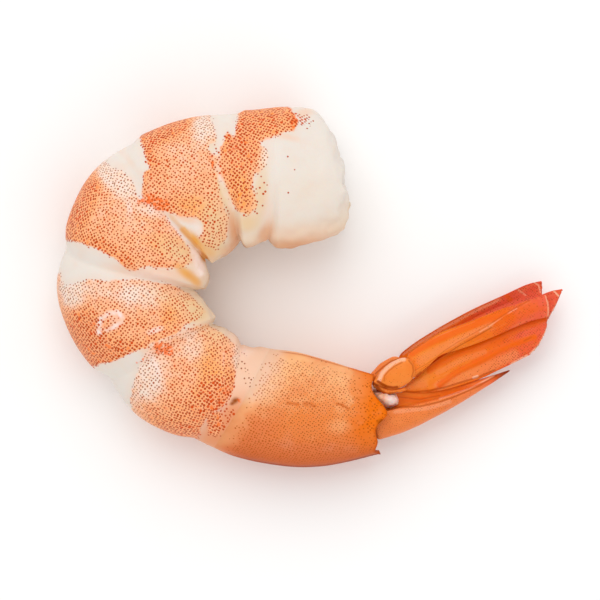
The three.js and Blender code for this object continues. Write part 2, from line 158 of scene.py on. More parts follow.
# The coloured skin of each peeled segment, between the edge towards the neck and the edge towards the tail.
# Both run from beyond the back to the belly.
SKIN_PATCHES = [
    {
        "front": [
            (287, 95), (288, 107), (291, 111), (295, 117), (298, 125), (294, 132), (285, 134), (276, 138),
            (266, 141), (259, 143), (262, 147), (267, 151), (269, 158), (266, 166), (260, 173),
            (254, 178), (253, 186), (255, 195), (258, 203), (256, 210),
        ],
        "rear": [
            (239, 95), (239, 112), (237.5, 128), (236, 137), (233, 139), (227.5, 132.5), (225, 142),
            (222, 148), (220.5, 158), (220, 168), (222.5, 179), (227, 190), (231, 200), (236, 208),
            (242, 214), (249, 216),
        ],
    },
    {
        "front": [
            (208, 95), (210, 117), (214, 127), (217, 136), (216, 144), (210, 146), (209, 151), (213, 155),
            (219, 157), (218.5, 170), (219, 182), (221, 194), (224.5, 206), (228, 214), (229, 222),
            (228, 232), (226, 240),
        ],
        "rear": [
            (141, 115), (141, 139), (144, 147), (147, 157), (151, 170), (146, 174), (145, 184),
            (144, 194), (146, 202), (157, 208.5), (165, 211.5), (174, 214), (182, 216.5), (190, 218),
            (198, 219), (204, 224), (203.5, 232), (200, 239), (207, 246), (216, 250),
        ],
    },
    {
        "front": [
            (92, 140), (104, 160), (112, 168), (120, 170), (126, 174), (133, 181), (137, 188), (139, 197),
            (146, 203), (157, 209), (165, 213), (171, 222), (178, 232), (185, 242), (190.5, 251),
            (192.5, 259), (190, 266),
        ],
        "rear": [
            (40, 238), (66, 240), (80, 242), (90, 246), (100, 250), (110, 255), (118, 259), (123, 264),
            (129, 269), (136, 271), (143, 269), (150, 267), (160, 268), (170, 268), (182, 268),
        ],
    },
    {
        "front": [
            (40, 268), (60, 274), (66, 287), (75, 284), (82, 282), (90, 280), (100, 280), (110, 281),
            (120, 280), (135, 280), (150, 281), (165, 283), (178, 287), (190, 294), (199, 304),
            (205, 312),
        ],
        "rear": [
            (80, 400), (96, 365), (104, 363), (113, 361), (123, 357), (132, 352), (141, 349), (148, 347),
            (154, 343), (160, 340), (168, 337), (176, 334), (180, 331), (186, 325), (196, 321),
        ],
    },
    {
        "front": [
            (110, 430), (133, 407), (131, 398), (134, 387), (137, 376), (141, 365), (146, 355),
            (154, 343), (165, 340), (176, 336), (186, 331), (198, 326), (210, 324),
        ],
        "rear": [
            (196, 465), (198, 438), (201, 428), (205, 419), (213, 413), (222, 406), (229, 399),
            (233, 390), (235, 380), (237, 370), (238, 358), (238, 346),
        ],
    },
]
LOOSE_PATCH = [(208, 415), (216, 410), (223, 413), (222, 425), (218, 436), (209, 434)]

# Oval marks on the skin: x and y of the middle, half length, half width, the direction of the length in
# degrees upwards from the right, and strength.
OVALS = {
    "deep": [
        (262, 120, 40, 24, 5, 0.4), (238, 150, 22, 17, 80, 0.35), (242, 186, 28, 12, -78, 0.22),
        (294, 122, 10, 14, 0, 0.3), (162, 127, 38, 17, 25, 0.7), (252, 158, 20, 10, 70, 0.25),
        (146, 152, 24, 10, -72, 0.35), (78, 210, 46, 16, 64, 0.55), (104, 248, 36, 9, -25, 0.2),
        (90, 342, 38, 24, 115, 0.75), (124, 350, 28, 10, 20, 0.3), (117, 288, 16, 7, 0, 0.15),
        (214, 400, 38, 22, 50, 0.6), (178, 429, 34, 10, -22, 0.4), (182, 414, 34, 14, -20, 0.12),
        (215, 424, 12, 9, 60, 0.35), (147, 404, 10, 6, -50, 0.12),
    ],
    "fade": [
        (204, 130, 18, 16, 100, 0.4), (118, 180, 34, 16, -40, 0.5), (74, 290, 24, 15, -80, 0.45),
        (112, 288, 46, 10, 0, 0.2), (150, 377, 31, 20, 75, 0.42), (270, 158, 20, 12, 90, 0.34),
        (152, 212, 18, 7, -5, 0.2), (142, 296, 36, 14, 0, 0.28), (180, 165, 24, 22, -40, 0.1),
        (246, 368, 38, 14, -75, 0.6), (130, 228, 30, 18, 30, 0.08), (196, 345, 26, 14, -60, 0.22),
    ],
    "yellow": [
        (241, 192, 26, 12, -75, 0.8), (192, 205, 22, 11, -5, 0.75), (205, 214, 14, 10, 0, 0.6),
        (168, 246, 26, 11, -15, 0.6), (172, 314, 16, 12, 80, 0.7), (209, 365, 26, 13, 80, 0.7),
        (222, 374, 12, 10, 60, 0.6), (203, 392, 20, 12, 60, 0.3), (160, 132, 30, 12, 25, 0.3),
        (84, 214, 34, 12, 64, 0.25), (264, 124, 30, 14, 5, 0.3),
    ],
    "cream": [
        (248, 224, 16, 14, 0, 0.85), (215, 247, 22, 15, -30, 0.85), (214, 224, 20, 12, -70, 0.75),
        (180, 252, 24, 13, -30, 0.75), (198, 312, 22, 15, -50, 0.95), (178, 301, 30, 13, -25, 0.6),
        (220, 338, 22, 13, -10, 0.85), (225, 195, 26, 6, -66, 0.8), (261, 196, 34, 9, 84, 0.7),
        (213, 146, 7, 10, 0, 0.35), (218, 212, 30, 22, 100, 0.55), (174, 250, 24, 12, -20, 0.5),
        (306, 200, 44, 40, 0, 0.12),
    ],
    "blush": [
        (166, 274, 46, 8, -4, 0.75), (122, 270, 26, 7, -14, 0.35), (214, 428, 26, 16, -50, 0.7),
        (246, 372, 40, 17, -75, 0.95), (176, 337, 34, 8, 25, 0.85), (155, 213, 26, 7, -8, 0.6),
        (186, 219, 16, 5, -18, 0.8), (152, 350, 20, 8, -20, 0.6), (220, 168, 18, 4, 88, 0.9),
        (196, 262, 16, 10, -60, 0.4), (126, 156, 30, 4, -50, 0.2), (300, 236, 50, 14, 3, 0.4),
        (268, 215, 30, 8, 95, 0.3), (304, 114, 13, 7, 20, 0.6), (286, 138, 17, 4, -15, 0.5),
        (237, 394, 10, 8, 0, 0.6),
    ],
    # Painted shade: these ovals darken and warm the muscle along the belly, under the neck and in the
    # creases, where shade falls.
    "painted_shade": [
        (234, 230, 24, 7, -80, 0.8), (266, 234, 14, 8, 70, 0.6), (300, 249, 56, 12, 3, 0.8),
        (232, 250, 14, 8, 35, 0.6), (176, 419, 38, 14, -25, 0.6), (212, 440, 18, 10, 0, 0.6),
        (232, 412, 22, 9, 55, 0.55), (188, 284, 22, 7, -10, 0.15),
    ],
    # Amber in the belly creases: partly the flesh's own colour, partly painted light standing in for light
    # glowing through the thin flesh there.
    "amber_glow": [
        (196, 241, 14, 6, -50, 0.95), (207, 252, 13, 8, -35, 0.55), (188, 274, 17, 6, -38, 0.85),
        (197, 282, 7, 5, -50, 0.6),
    ],
    "rust": [
        (294, 124, 8, 5, 70, 1.0), (290, 112, 10, 4, 110, 0.6), (164, 348, 13, 8, -10, 1.0),
        (155, 203, 20, 10, -12, 0.85), (166, 207, 12, 6, -10, 0.6), (211, 160, 5, 13, 0, 0.5),
        (228, 391, 9, 6, 20, 0.5), (186, 208, 10, 4, 0, 0.35), (239, 400, 5, 4, 0, 0.7),
    ],
    "milky": [
        (199, 230, 8, 6, -60, 0.6), (244, 352, 12, 8, 0, 0.3), (150, 275, 24, 5, -4, 0.4),
        (103, 327, 5, 9, 20, 0.3), (118, 318, 9, 6, 30, 0.3),
    ],
    "dark": [(235.5, 400, 4.5, 3.5, 30, 1.0), (232.5, 403, 2.5, 2, 0, 1.0)],
}

# Streaks on the skin: the line that each follows, its half width in pixels, and its strength.
STREAKS = {
    # Amber streaks in the belly creases, partly a painted glow of light through the flesh.
    "amber_glow": [
        ([(173, 218), (179, 224), (185, 231)], 2.0, 0.4),
        ([(184, 230), (193, 239), (200, 248), (206, 258)], 3.4, 0.8),
    ],
    "rust": [
        ([(149, 196), (153, 201), (157, 206.5)], 1.5, 1.0),
        ([(134, 204), (139, 204), (147, 201)], 1.6, 0.7), ([(158, 200), (160, 208)], 1.4, 0.6),
        ([(213, 164), (213, 171)], 1.5, 0.9), ([(158, 174), (172, 177), (186, 183)], 1.0, 0.4),
        ([(172, 353), (168, 348), (160, 346)], 2.5, 0.8), ([(145, 358), (138, 362)], 1.4, 0.6),
        ([(241, 108), (262, 106), (285, 105)], 1.6, 0.6), ([(110, 324), (112, 320)], 2.0, 0.5),
    ],
    "milky": [
        ([(168, 219), (177, 229), (187, 241), (195, 251)], 1.6, 0.5),
        ([(196, 253), (200, 264), (201, 272)], 4.5, 0.75), ([(131, 205), (132, 212)], 2.5, 0.6),
        ([(150, 211), (158, 214), (162, 217)], 2.6, 0.3),
        ([(101, 333), (101, 325), (104, 318), (111, 313), (120, 312), (124, 317)], 2.2, 1.0),
        ([(109, 330), (117, 326), (124, 321)], 2.0, 0.9), ([(151, 332), (162, 328)], 2.4, 0.7),
        ([(224, 352), (224, 382)], 0.7, 0.35), ([(150, 353), (157, 362), (160, 374)], 2.3, 0.4),
        ([(221, 178), (226, 194), (233, 209)], 2.6, 0.35),
    ],
}
NEAR_SIDE_ONLY = ("rust", "milky", "dark")
# Ovals with dots outside the coloured skin.
STRAY_DOTS = [
    (304, 120, 12, 9, -70, 0.7), (288, 180, 20, 12, 90, 0.1), (261, 196, 26, 8, 85, 0.5),
    (250, 376, 26, 9, -70, 0.35), (222, 420, 18, 12, 45, 0.6), (214, 149, 6, 8, 0, 0.6),
    (176, 337, 34, 8, 25, 0.6),
]

# Ovals on the last shell: brown spots, redder places, paler places and painted sheen, and places where flesh
# shines through.
SHELL_SPOTS = [(381, 422, 5, 4, 0, 1.0), (234, 400, 5, 4, 30, 0.9)]
SHELL_REDS = [(268, 418, 26, 18, 20, 0.25), (300, 452, 60, 12, 0, 0.6)]
SHELL_PALES_AND_SHEEN = [
    (338, 426, 14, 9, 0, 0.35), (285, 362, 20, 9, 15, 0.5), (325, 370, 46, 9, -12, 0.4),
    (356, 388, 18, 14, -30, 0.2),
]
SHELL_BARES = [(256, 363, 22, 12, -70, 0.5)]
# Lines pressed into the last shell: the line that each follows, its half width in pixels, and its strength.
SHELL_CREASES = [
    ([(287, 402), (293, 402.5), (299, 403)], 0.9, 0.7),
    ([(303, 403), (309, 403.5), (315, 405)], 1.2, 0.9),
    ([(337, 403), (342, 404.5), (348, 408)], 1.2, 0.9),
    ([(352, 398), (366, 397)], 0.9, 0.3),
]

# Telson: x, y and z on its centre line, half its height across the curl, and half its width along Z.
TELSON = [
    (8.4, -19.3, 5.3, 3.0, 2.6),
    (12.6, -18.15, 5.2, 2.85, 2.8),
    (16.6, -16.95, 5.0, 2.2, 2.4),
    (20.6, -15.6, 4.9, 1.45, 1.8),
    (24.6, -13.95, 4.7, 0.7, 1.1),
    (28.5, -12.1, 4.6, 0.12, 0.3),
]

# Stalks, the two short pieces that carry the blades, and the lobe under the near one: their edges in the
# photograph, their height and half thickness. solid is the solid that a piece stands for, where its name is
# another.
STALKS = {
    "near_stalk": {
        "upper": [
            (373, 381), (376.5, 377), (380.5, 372), (384.5, 368), (389, 364.5), (394, 361.5), (399, 359),
            (405, 357.8), (410.5, 360), (414, 364.5),
        ],
        "lower": [
            (373, 383), (379, 385.5), (384, 387.4), (389, 389.3), (395, 389.6), (401, 387.5),
            (406.5, 384.5), (411.5, 380.5), (414.5, 375), (415, 369),
        ],
        "height": 7.4,
        "half_thick": 1.0,
    },
    "stalk_lobe": {
        "upper": [(372, 382), (377, 383.5), (384, 387), (391, 388.5), (398, 388.5), (406, 387)],
        "lower": [(373, 387), (378, 391), (384, 394.6), (390, 394.4), (398, 393), (407, 391)],
        "height": 6.6,
        "half_thick": 0.9,
        "solid": "near_stalk",
    },
    "far_stalk": {
        "upper": [(368, 377), (374, 371), (380, 365), (387, 360), (394, 357), (400, 358), (404, 364)],
        "lower": [(370, 381), (377, 383), (385, 383), (393, 380), (399, 375), (403, 370), (405, 366)],
        "height": 2.9,
        "half_thick": 1.0,
    },
}

# Blades: the two long edges of each in the photograph, the line that its rib follows, its height at even
# steps, and how far its end bulges in mm. face is 1 where the rounded face looks up, and -1 where it looks
# down.
BLADES = {
    "near_exopod": {
        "upper": [
            (404, 359), (409, 353), (418, 346.5), (428, 340), (440, 332.5), (456, 326.5), (475, 319.5),
            (500, 309.5), (522, 302.5), (547, 294),
        ],
        "lower": [
            (410, 380), (418, 377), (427, 368), (440, 356), (458, 350), (476, 344), (496, 336),
            (514, 328), (532, 321), (550, 317),
        ],
        "rib": [
            (415, 372), (424, 367), (433, 361.5), (447, 350.5), (458, 343.5), (470, 337), (490, 325.5),
            (510, 312), (530, 301.5),
        ],
        "heights": (7.3, 7.4, 7.2, 6.8, 6.3),
        "bulge": 0.15,
        "face": 1,
    },
    "near_endopod": {
        "upper": [
            (402, 389), (416, 377), (430, 366), (444, 356), (458, 348.5), (476, 341), (496, 332),
            (516, 323), (549, 315),
        ],
        "lower": [
            (398, 392), (414, 393.5), (430, 392.5), (446, 390), (462, 385.5), (480, 379.5), (497, 371.5),
            (513, 364), (531, 355),
        ],
        "rib": [
            (430, 390), (440, 385), (450, 377.5), (460, 371), (480, 361.5), (500, 350.5), (515, 344),
            (535, 337),
        ],
        "heights": (5.7, 6.0, 6.0, 5.7, 5.3),
        "bulge": 0.65,
        "face": 1,
    },
    "far_endopod": {
        "upper": [(414, 380), (440, 352), (480, 328), (520, 306), (548, 292.5), (565, 288.5)],
        "lower": [(414, 392), (440, 378), (480, 356), (520, 338), (540, 328), (550, 319)],
        "rib": [(414, 386), (440, 366), (480, 342), (520, 322), (550, 306)],
        "heights": (3.8, 3.9, 4.0, 4.2, 4.3),
        "bulge": 0.0,
        "face": -1,
    },
    "far_exopod": {
        "upper": [
            (396, 360), (402, 353.5), (410, 347), (420, 340), (435, 330.7), (450, 322), (475, 308.7),
            (505, 295), (528, 284.5), (544, 280.5),
        ],
        "lower": [
            (402, 372), (416, 362), (434, 350), (452, 340), (478, 327), (508, 314), (528, 306),
            (543, 298),
        ],
        "rib": [(402, 366), (425, 349), (450, 333), (480, 316), (510, 303), (534, 292)],
        "heights": (2.6, 2.5, 2.7, 3.0, 3.2),
        "bulge": 0.0,
        "face": -1,
    },
}
RIB_ENDS = 0.95  # share of the blade's length at which its rib fades out
# Half widths of a blade's rib and of its thick margin, how much thicker the margin is and how far it bends
# away from the rounded face, all in mm.
RIB_WIDTH = 0.34
MARGIN_WIDTH = 0.14
MARGIN_BEAD = 0.08
MARGIN_SAG = 0.4

# Streaks on the fan, by piece and by what they are: the line that each follows, its half width in pixels,
# and its strength.
FAN_STREAKS = {
    "near_exopod": {
        "pale_and_highlight": [
            # The first pale streak is a painted highlight along the lit upper margin.
            ([(408, 354.5), (415, 350), (425, 343.8), (440, 335.6), (456, 329), (475, 321.8)], 0.5, 0.3),
            ([(480, 332), (490, 326), (505, 315.5), (517, 308.5)], 0.6, 0.4),
            ([(546, 295), (548.5, 304), (549, 316)], 0.8, 0.55),
        ],
        "clear": [
            ([(420, 361), (430, 355), (442, 348), (455, 341.5)], 4.0, 0.5),
            ([(452, 343), (468, 335), (490, 325)], 3.5, 0.45), ([(418, 380), (420, 378)], 2.0, 0.9),
        ],
        "rib": [
            ([(412, 353), (428, 344), (445, 336.5), (460, 330), (480, 322.5), (505, 314)], 3.4, 0.85),
            ([(500, 325), (515, 318), (535, 308)], 5.0, 0.35),
        ],
        "line": [
            ([(415, 370.5), (424, 365.5), (433, 360), (447, 349), (458, 342), (470, 335.5), (490, 324),
              (510, 311), (530, 300.5)], 0.55, 0.35),
            ([(417, 376.5), (425, 369.5), (433, 364), (441, 358), (449, 352.5), (460, 345.5), (472, 339),
              (492, 327.5)], 0.55, 0.6),
            ([(417, 376.5), (421, 373)], 1.5, 0.9),
            ([(405, 358), (409, 352.5), (418, 346), (428, 339.5), (440, 332), (456, 326),
              (475, 319)], 0.8, 0.7),
        ],
    },
    "near_endopod": {
        "pale_and_highlight": [
            ([(549, 318), (549, 326), (545.5, 334), (540, 345), (531, 354)], 0.9, 0.8),
            # Of these two, the short one at (474, 378) is a painted highlight speck.
            ([(512, 364), (528, 355.5)], 0.9, 0.7), ([(474, 378), (478, 376.5)], 1.2, 1.0),
        ],
        "clear": [
            ([(438, 373), (450, 367), (465, 359), (485, 352)], 2.5, 0.4),
            ([(440, 386), (455, 380), (475, 373), (495, 364), (515, 355)], 5.0, 0.6),
            ([(404, 386), (414, 384), (424, 384)], 4.0, 0.35),
        ],
        "rib": [
            # The first band is partly the blade's dark ridge and partly painted shadow, cast by the near
            # exopod's lower edge.
            ([(430, 371), (440, 363.5), (452, 357.5), (465, 351.5), (480, 345), (500, 337.5), (520, 329),
              (545, 319)], 3.2, 0.75),
            ([(440, 385), (450, 377.5), (460, 371), (470, 366), (480, 361.5), (500, 350.5), (515, 344),
              (535, 337)], 3.0, 0.8),
        ],
        "line": [
            ([(399, 391), (414, 392.5), (430, 391), (446, 387.5), (462, 382.5), (480, 377),
              (495, 370.5)], 1.0, 0.6),
            ([(525, 341), (532, 337.5)], 0.8, 0.4),
        ],
    },
    "far_exopod": {
        "pale_and_highlight": [
            ([(535, 281.8), (540, 285), (542, 292)], 0.8, 0.7), ([(519, 289.5), (527, 295)], 0.9, 0.4),
            # This long pale streak is a painted soft highlight.
            ([(404, 354.5), (420, 343), (440, 330.5), (470, 314.5), (500, 300)], 1.2, 0.3),
        ],
        # Painted light: this lighter band lifts the shade that the near exopod casts on this blade.
        "clear": [([(410, 347), (440, 329), (470, 312.5), (500, 298)], 3.2, 0.5)],
        "rib": [([(505, 293), (512, 300)], 2.2, 0.5)],
        "line": [([(397, 359), (410, 346.5), (435, 330), (475, 308), (505, 294.5)], 0.7, 0.45)],
    },
    "far_endopod": {
        "pale_and_highlight": [([(555, 291), (560, 296)], 0.9, 0.8), ([(559, 303), (550, 318)], 0.9, 0.8)],
    },
    "telson": {
        "pale_and_highlight": [
            ([(440, 399), (470, 389), (495, 376)], 0.8, 0.6),
            ([(395, 412), (430, 408), (450, 402)], 2.0, 0.25),
        ],
        "rib": [([(400, 400), (425, 400), (450, 394), (480, 384)], 3.0, 0.3)],
        "line": [
            ([(388, 410), (400, 407), (420, 406.5), (440, 402), (455, 397), (480, 386),
              (497, 376)], 0.9, 0.65),
            ([(398, 397), (420, 400), (440, 396)], 0.7, 0.4),
        ],
    },
    "near_stalk": {
        "pale_and_highlight": [
            # Painted highlight along the stalk's lit upper edge.
            ([(379, 380.5), (382, 373.5), (387, 368), (393, 363.3), (400, 360), (404, 359.4)], 1.9, 0.9),
        ],
        "line": [
            ([(378, 381.5), (382, 384.5), (387, 387), (393, 388), (397, 387.5)], 1.5, 1.0),
            ([(409, 360.5), (412.5, 365), (413.5, 371), (412, 377)], 0.8, 0.6),
            ([(384, 381), (384.5, 376), (389, 370.5), (395, 366), (402, 362.5)], 0.7, 0.45),
        ],
    },
    "far_stalk": {
        "clear": [([(374, 372), (382, 364.5), (390, 359.5), (398, 358)], 2.5, 0.5)],
        "line": [([(376, 374), (384, 367), (392, 361.5), (400, 359)], 0.7, 0.6)],
    },
    "stalk_lobe": {
        "line": [
            ([(376.5, 386), (380, 390.5), (385, 394)], 1.6, 0.8),
            ([(386, 393.8), (398, 392.5)], 0.8, 0.6),
        ],
    },
}

# The white joint tissue that shows behind the shell: centre, half sizes and tilt.
TISSUE_CENTRE = (10.55, -16.15, 5.4)
TISSUE_HALF = (2.15, 1.15, 2.8)
TISSUE_TILT = -0.25

# The paper floor: half its side in metres, and how far below the shrimp it lies, in mm.
FLOOR_HALF = 3.0
FLOOR_GAP = 0.05


# Shared shape functions

def clamp01(x):
    return np.clip(x, 0.0, 1.0)


def ease(start, end, x):
    t = clamp01((x - start) / (end - start))
    return t * t * (3 - 2 * t)


def smooth_through(values, p):
    """A smooth curve through evenly spaced values or rows, read at positions p, counted from the first."""
    values = np.asarray(values, float)
    last = len(values) - 1
    k = np.clip(np.floor(p).astype(int), 0, last - 1)
    t = p - k
    if values.ndim > 1:
        t = t[..., None]
    padded = np.concatenate([[2 * values[0] - values[1]], values, [2 * values[-1] - values[-2]]])
    a, b, c, d = (padded[k + i] for i in range(4))
    return 0.5 * (2 * b + (c - a) * t + (2 * a - 5 * b + 4 * c - d) * t**2 + (3 * b - a - 3 * c + d) * t**3)


def smooth_at(values, share):
    """A smooth curve through evenly spaced values or rows, read at shares of its length from 0 to 1."""
    return smooth_through(values, (len(values) - 1) * share)


def along_line(points, share):
    """A smooth line through points, read at shares of its length from 0 to 1."""
    points = np.asarray(points, float)
    fine = smooth_through(points, np.linspace(0, len(points) - 1, 40 * len(points)))
    reach = np.concatenate([[0], np.cumsum(np.linalg.norm(np.diff(fine, axis=0), axis=1))])
    return np.stack([np.interp(share * reach[-1], reach, fine[:, i]) for i in range(points.shape[1])], -1)


def ridge(distance, width):
    """1 at no distance, and smoothly less on both sides."""
    return np.exp(-((distance / width) ** 2))


def round_end(distance, reach, bluntness=3.0):
    """How full a piece is at a distance from its end, from 0 to 1, where its last reach is rounded off."""
    return (1 - (1 - clamp01(distance / reach)) ** bluntness) ** (1 / bluntness)


def round_end_at(size, reach, bluntness=3.0):
    """The distance from the end at which round_end gives size."""
    return reach * (1 - (1 - size**bluntness) ** (1 / bluntness))


def soft_noise(points, size, seed):
    """Smooth noise between -1 and 1, in lumps about size mm across."""
    cells = 32
    lattice = np.random.default_rng(seed).uniform(-1, 1, (cells, cells, cells))
    scaled = points / size
    low = np.floor(scaled).astype(int)
    part = scaled - low
    part = part * part * (3 - 2 * part)
    total = np.zeros(points.shape[:-1])
    for corner in itertools.product((0, 1), repeat=3):
        weight = np.prod(np.where(corner, part, 1 - part), axis=-1)
        cell = (low + corner) % cells
        total += weight * lattice[cell[..., 0], cell[..., 1], cell[..., 2]]
    return total


def on_curl(outline):
    """Pixels of the photograph as millimetres on the plane of the curl."""
    pixels = np.asarray(outline, float)
    return (pixels - PIXEL_AT_ORIGIN) * (1, -1) / PIXELS_PER_MM


def distance_to(line, x, y, closed=False):
    """How far points lie from a line of straight stretches, in mm."""
    starts, ends = line[:-1], line[1:]
    if closed:
        starts, ends = line, np.roll(line, -1, axis=0)
    nearest = np.full(x.shape, np.inf)
    for (ax, ay), (bx, by) in zip(starts, ends):
        dx, dy = bx - ax, by - ay
        t = clamp01(((x - ax) * dx + (y - ay) * dy) / max(dx * dx + dy * dy, 1e-9))
        nearest = np.minimum(nearest, np.hypot(x - ax - t * dx, y - ay - t * dy))
    return nearest


def depth_inside(outline, x, y):
    """How deep points lie inside a closed outline, in mm, and below 0 outside it."""
    inside = np.zeros(x.shape, bool)
    for (ax, ay), (bx, by) in zip(outline, np.roll(outline, -1, axis=0)):
        if ay != by:
            crosses = (ay > y) != (by > y)
            inside ^= crosses & (x < ax + (y - ay) / (by - ay) * (bx - ax))
    return np.where(inside, 1.0, -1.0) * distance_to(outline, x, y, closed=True)


def oval_strength(ovals, x, y):
    """How strongly oval marks colour each point, from 0 to 1."""
    left = np.ones(x.shape)
    for px, py, half_length, half_width, direction, strength in ovals:
        (mx, my), = on_curl([(px, py)])
        angle = math.radians(direction)
        dx, dy = x - mx, y - my
        lengthways = (dx * math.cos(angle) + dy * math.sin(angle)) * PIXELS_PER_MM / half_length
        sideways = (dy * math.cos(angle) - dx * math.sin(angle)) * PIXELS_PER_MM / half_width
        left *= 1 - strength * (1 - ease(0.15, 1.3, np.hypot(lengthways, sideways)))
    return 1 - left


def streak_strength(streaks, x, y):
    """How strongly streaks colour each point, from 0 to 1."""
    covered = np.zeros(x.shape)
    for line, half_width, strength in streaks:
        reach = distance_to(on_curl(line), x, y) * PIXELS_PER_MM / half_width
        covered = np.maximum(covered, strength * (1 - ease(0.5, 1.5, reach)))
    return covered


# The body's surface

def relief_of_segments(station, share):
    """How far the body swells or sinks, in mm, and how far off the nearest crease is, in stations."""
    places = np.stack([i + 1 + smooth_at(shift, share) for i, (shift, _) in enumerate(CREASES)])
    depths = np.stack([smooth_at(depth, share) for _, depth in CREASES])
    beyond = station - places
    left = np.where(beyond > 0, ease(0, CREASE_RISE, beyond), ease(0, CREASE_FALL, -beyond))
    sink = np.max(depths * (1 - left), axis=0)
    stretch = np.minimum(np.sum(beyond >= 0, axis=0), len(SWELLS) - 1)
    one = np.ones((1, *share.shape))
    ends = np.concatenate([BODY_START * one, places, BODY_END * one])
    start = np.take_along_axis(ends, stretch[None], 0)[0]
    end = np.take_along_axis(ends, stretch[None] + 1, 0)[0]
    along = clamp01((station - start) / (end - start))
    swells = np.array(SWELLS)[stretch]
    to_belly = ease(0.2, 0.8, share)
    swell = swells[..., 0] * (1 - to_belly) + swells[..., 1] * to_belly
    return swell * np.sin(math.pi * along) ** 0.8 - sink, np.min(np.abs(beyond), axis=0)


def body_points(station, turn, sunk=0.0, size=1.0):
    """Points of the body. turn is 0 at the back, grows over the near side, and is pi or -pi at the belly.

    sunk is how far a point lies below the surface, in mm, and size scales the ring that it is on.
    """
    x, y, facing, back, belly, side, lift = np.moveaxis(smooth_through(RINGS, station), -1, 0)
    share = np.abs(turn) / math.pi
    to_edge = np.sin(clamp01((share - 0.5) / (BELLY_TURN - 0.5)) * math.pi / 2)
    to_belly = belly * (to_edge - BELLY_GROOVE * ease(BELLY_TURN, 1, share))
    down = np.where(share > 0.5, to_belly, -np.cos(turn) * back)
    out = np.sin(turn) * side * (1 - BELLY_TAPER * ease(0.5, 1, share))
    grown = (1 + (relief_of_segments(station, share)[0] - sunk) / np.hypot(down, out)) * size
    angle = np.radians(facing)
    x = x + np.cos(angle) * down * grown
    y = y + np.sin(angle) * down * grown
    return np.stack([x, y, lift + out * grown], -1)


def torn_edge(points):
    """How far right the neck reaches at each point, in mm, with small chips in its edge."""
    edge = on_curl(NECK_EDGE)
    reach = np.interp(-points[..., 1], -edge[:, 1], edge[:, 0])
    face_on = points * (0, 1, 1)
    return reach + 0.25 * soft_noise(face_on, 1.3, 6) + 0.1 * soft_noise(face_on, 0.5, 7)


# What each point of a surface looks like, as numbers that its material reads

def skin_fields(points):
    """The body's skin, seen from the side: patches, ovals, streaks and dots."""
    x, y, z = np.moveaxis(points, -1, 0)
    inside = np.full(x.shape, -9.0)
    depth = np.zeros(x.shape)
    for patch in SKIN_PATCHES:
        front, rear = on_curl(patch["front"]), on_curl(patch["rear"])
        patch_depth = depth_inside(np.concatenate([front, rear[::-1]]), x, y)
        to_front, to_rear = distance_to(front, x, y), distance_to(rear, x, y)
        nearer = patch_depth > inside
        depth = np.where(nearer, to_front / np.maximum(to_front + to_rear, 1e-6), depth)
        inside = np.maximum(inside, patch_depth)
    inside = np.maximum(inside, depth_inside(on_curl(LOOSE_PATCH), x, y))
    fields = {"pigment": np.clip(inside, -3, 3)}
    near = ease(-1.0, 2.0, z - 7.0)
    for name, ovals in OVALS.items():
        strength = np.maximum(oval_strength(ovals, x, y), streak_strength(STREAKS.get(name, ()), x, y))
        fields[name] = strength * (near if name in NEAR_SIDE_ONLY else 1.0)
    fields["depth"] = clamp01(0.3 + 0.2 * depth + 1.25 * fields.pop("deep") - fields.pop("fade"))
    fields["dotted"] = np.maximum(ease(-0.3, 0.1, inside) * 0.97, oval_strength(STRAY_DOTS, x, y))
    fields["dotted"] *= (1 - 0.6 * fields["milky"]) * (1 - 0.35 * fields["cream"])
    return fields


def flesh_fields(points, station, share, front):
    """The skin, with the colours along the belly and beside the last shell, which starts at front."""
    fields = skin_fields(points)
    fields["salmon"] = 0.9 * ease(front - 0.4, front, station) * (1 - ease(0.4, 0.6, share))
    covered = ease(front - 1.3, front - 0.4, station)
    fields["cream"] = np.maximum(fields["cream"], 0.5 * ease(0.58, 0.8, share)) * (1 - covered)
    fields["blush"] = np.maximum(fields["blush"], 0.9 * covered * ease(0.35, 0.55, share))
    # Amber on the flesh's rounded end inside the shell: painted light laid over the shade that falls there.
    fields["amber_glow"] = np.maximum(fields["amber_glow"], 0.9 * ease(FLESH_END - 0.4, FLESH_END - 0.2, station))
    return fields


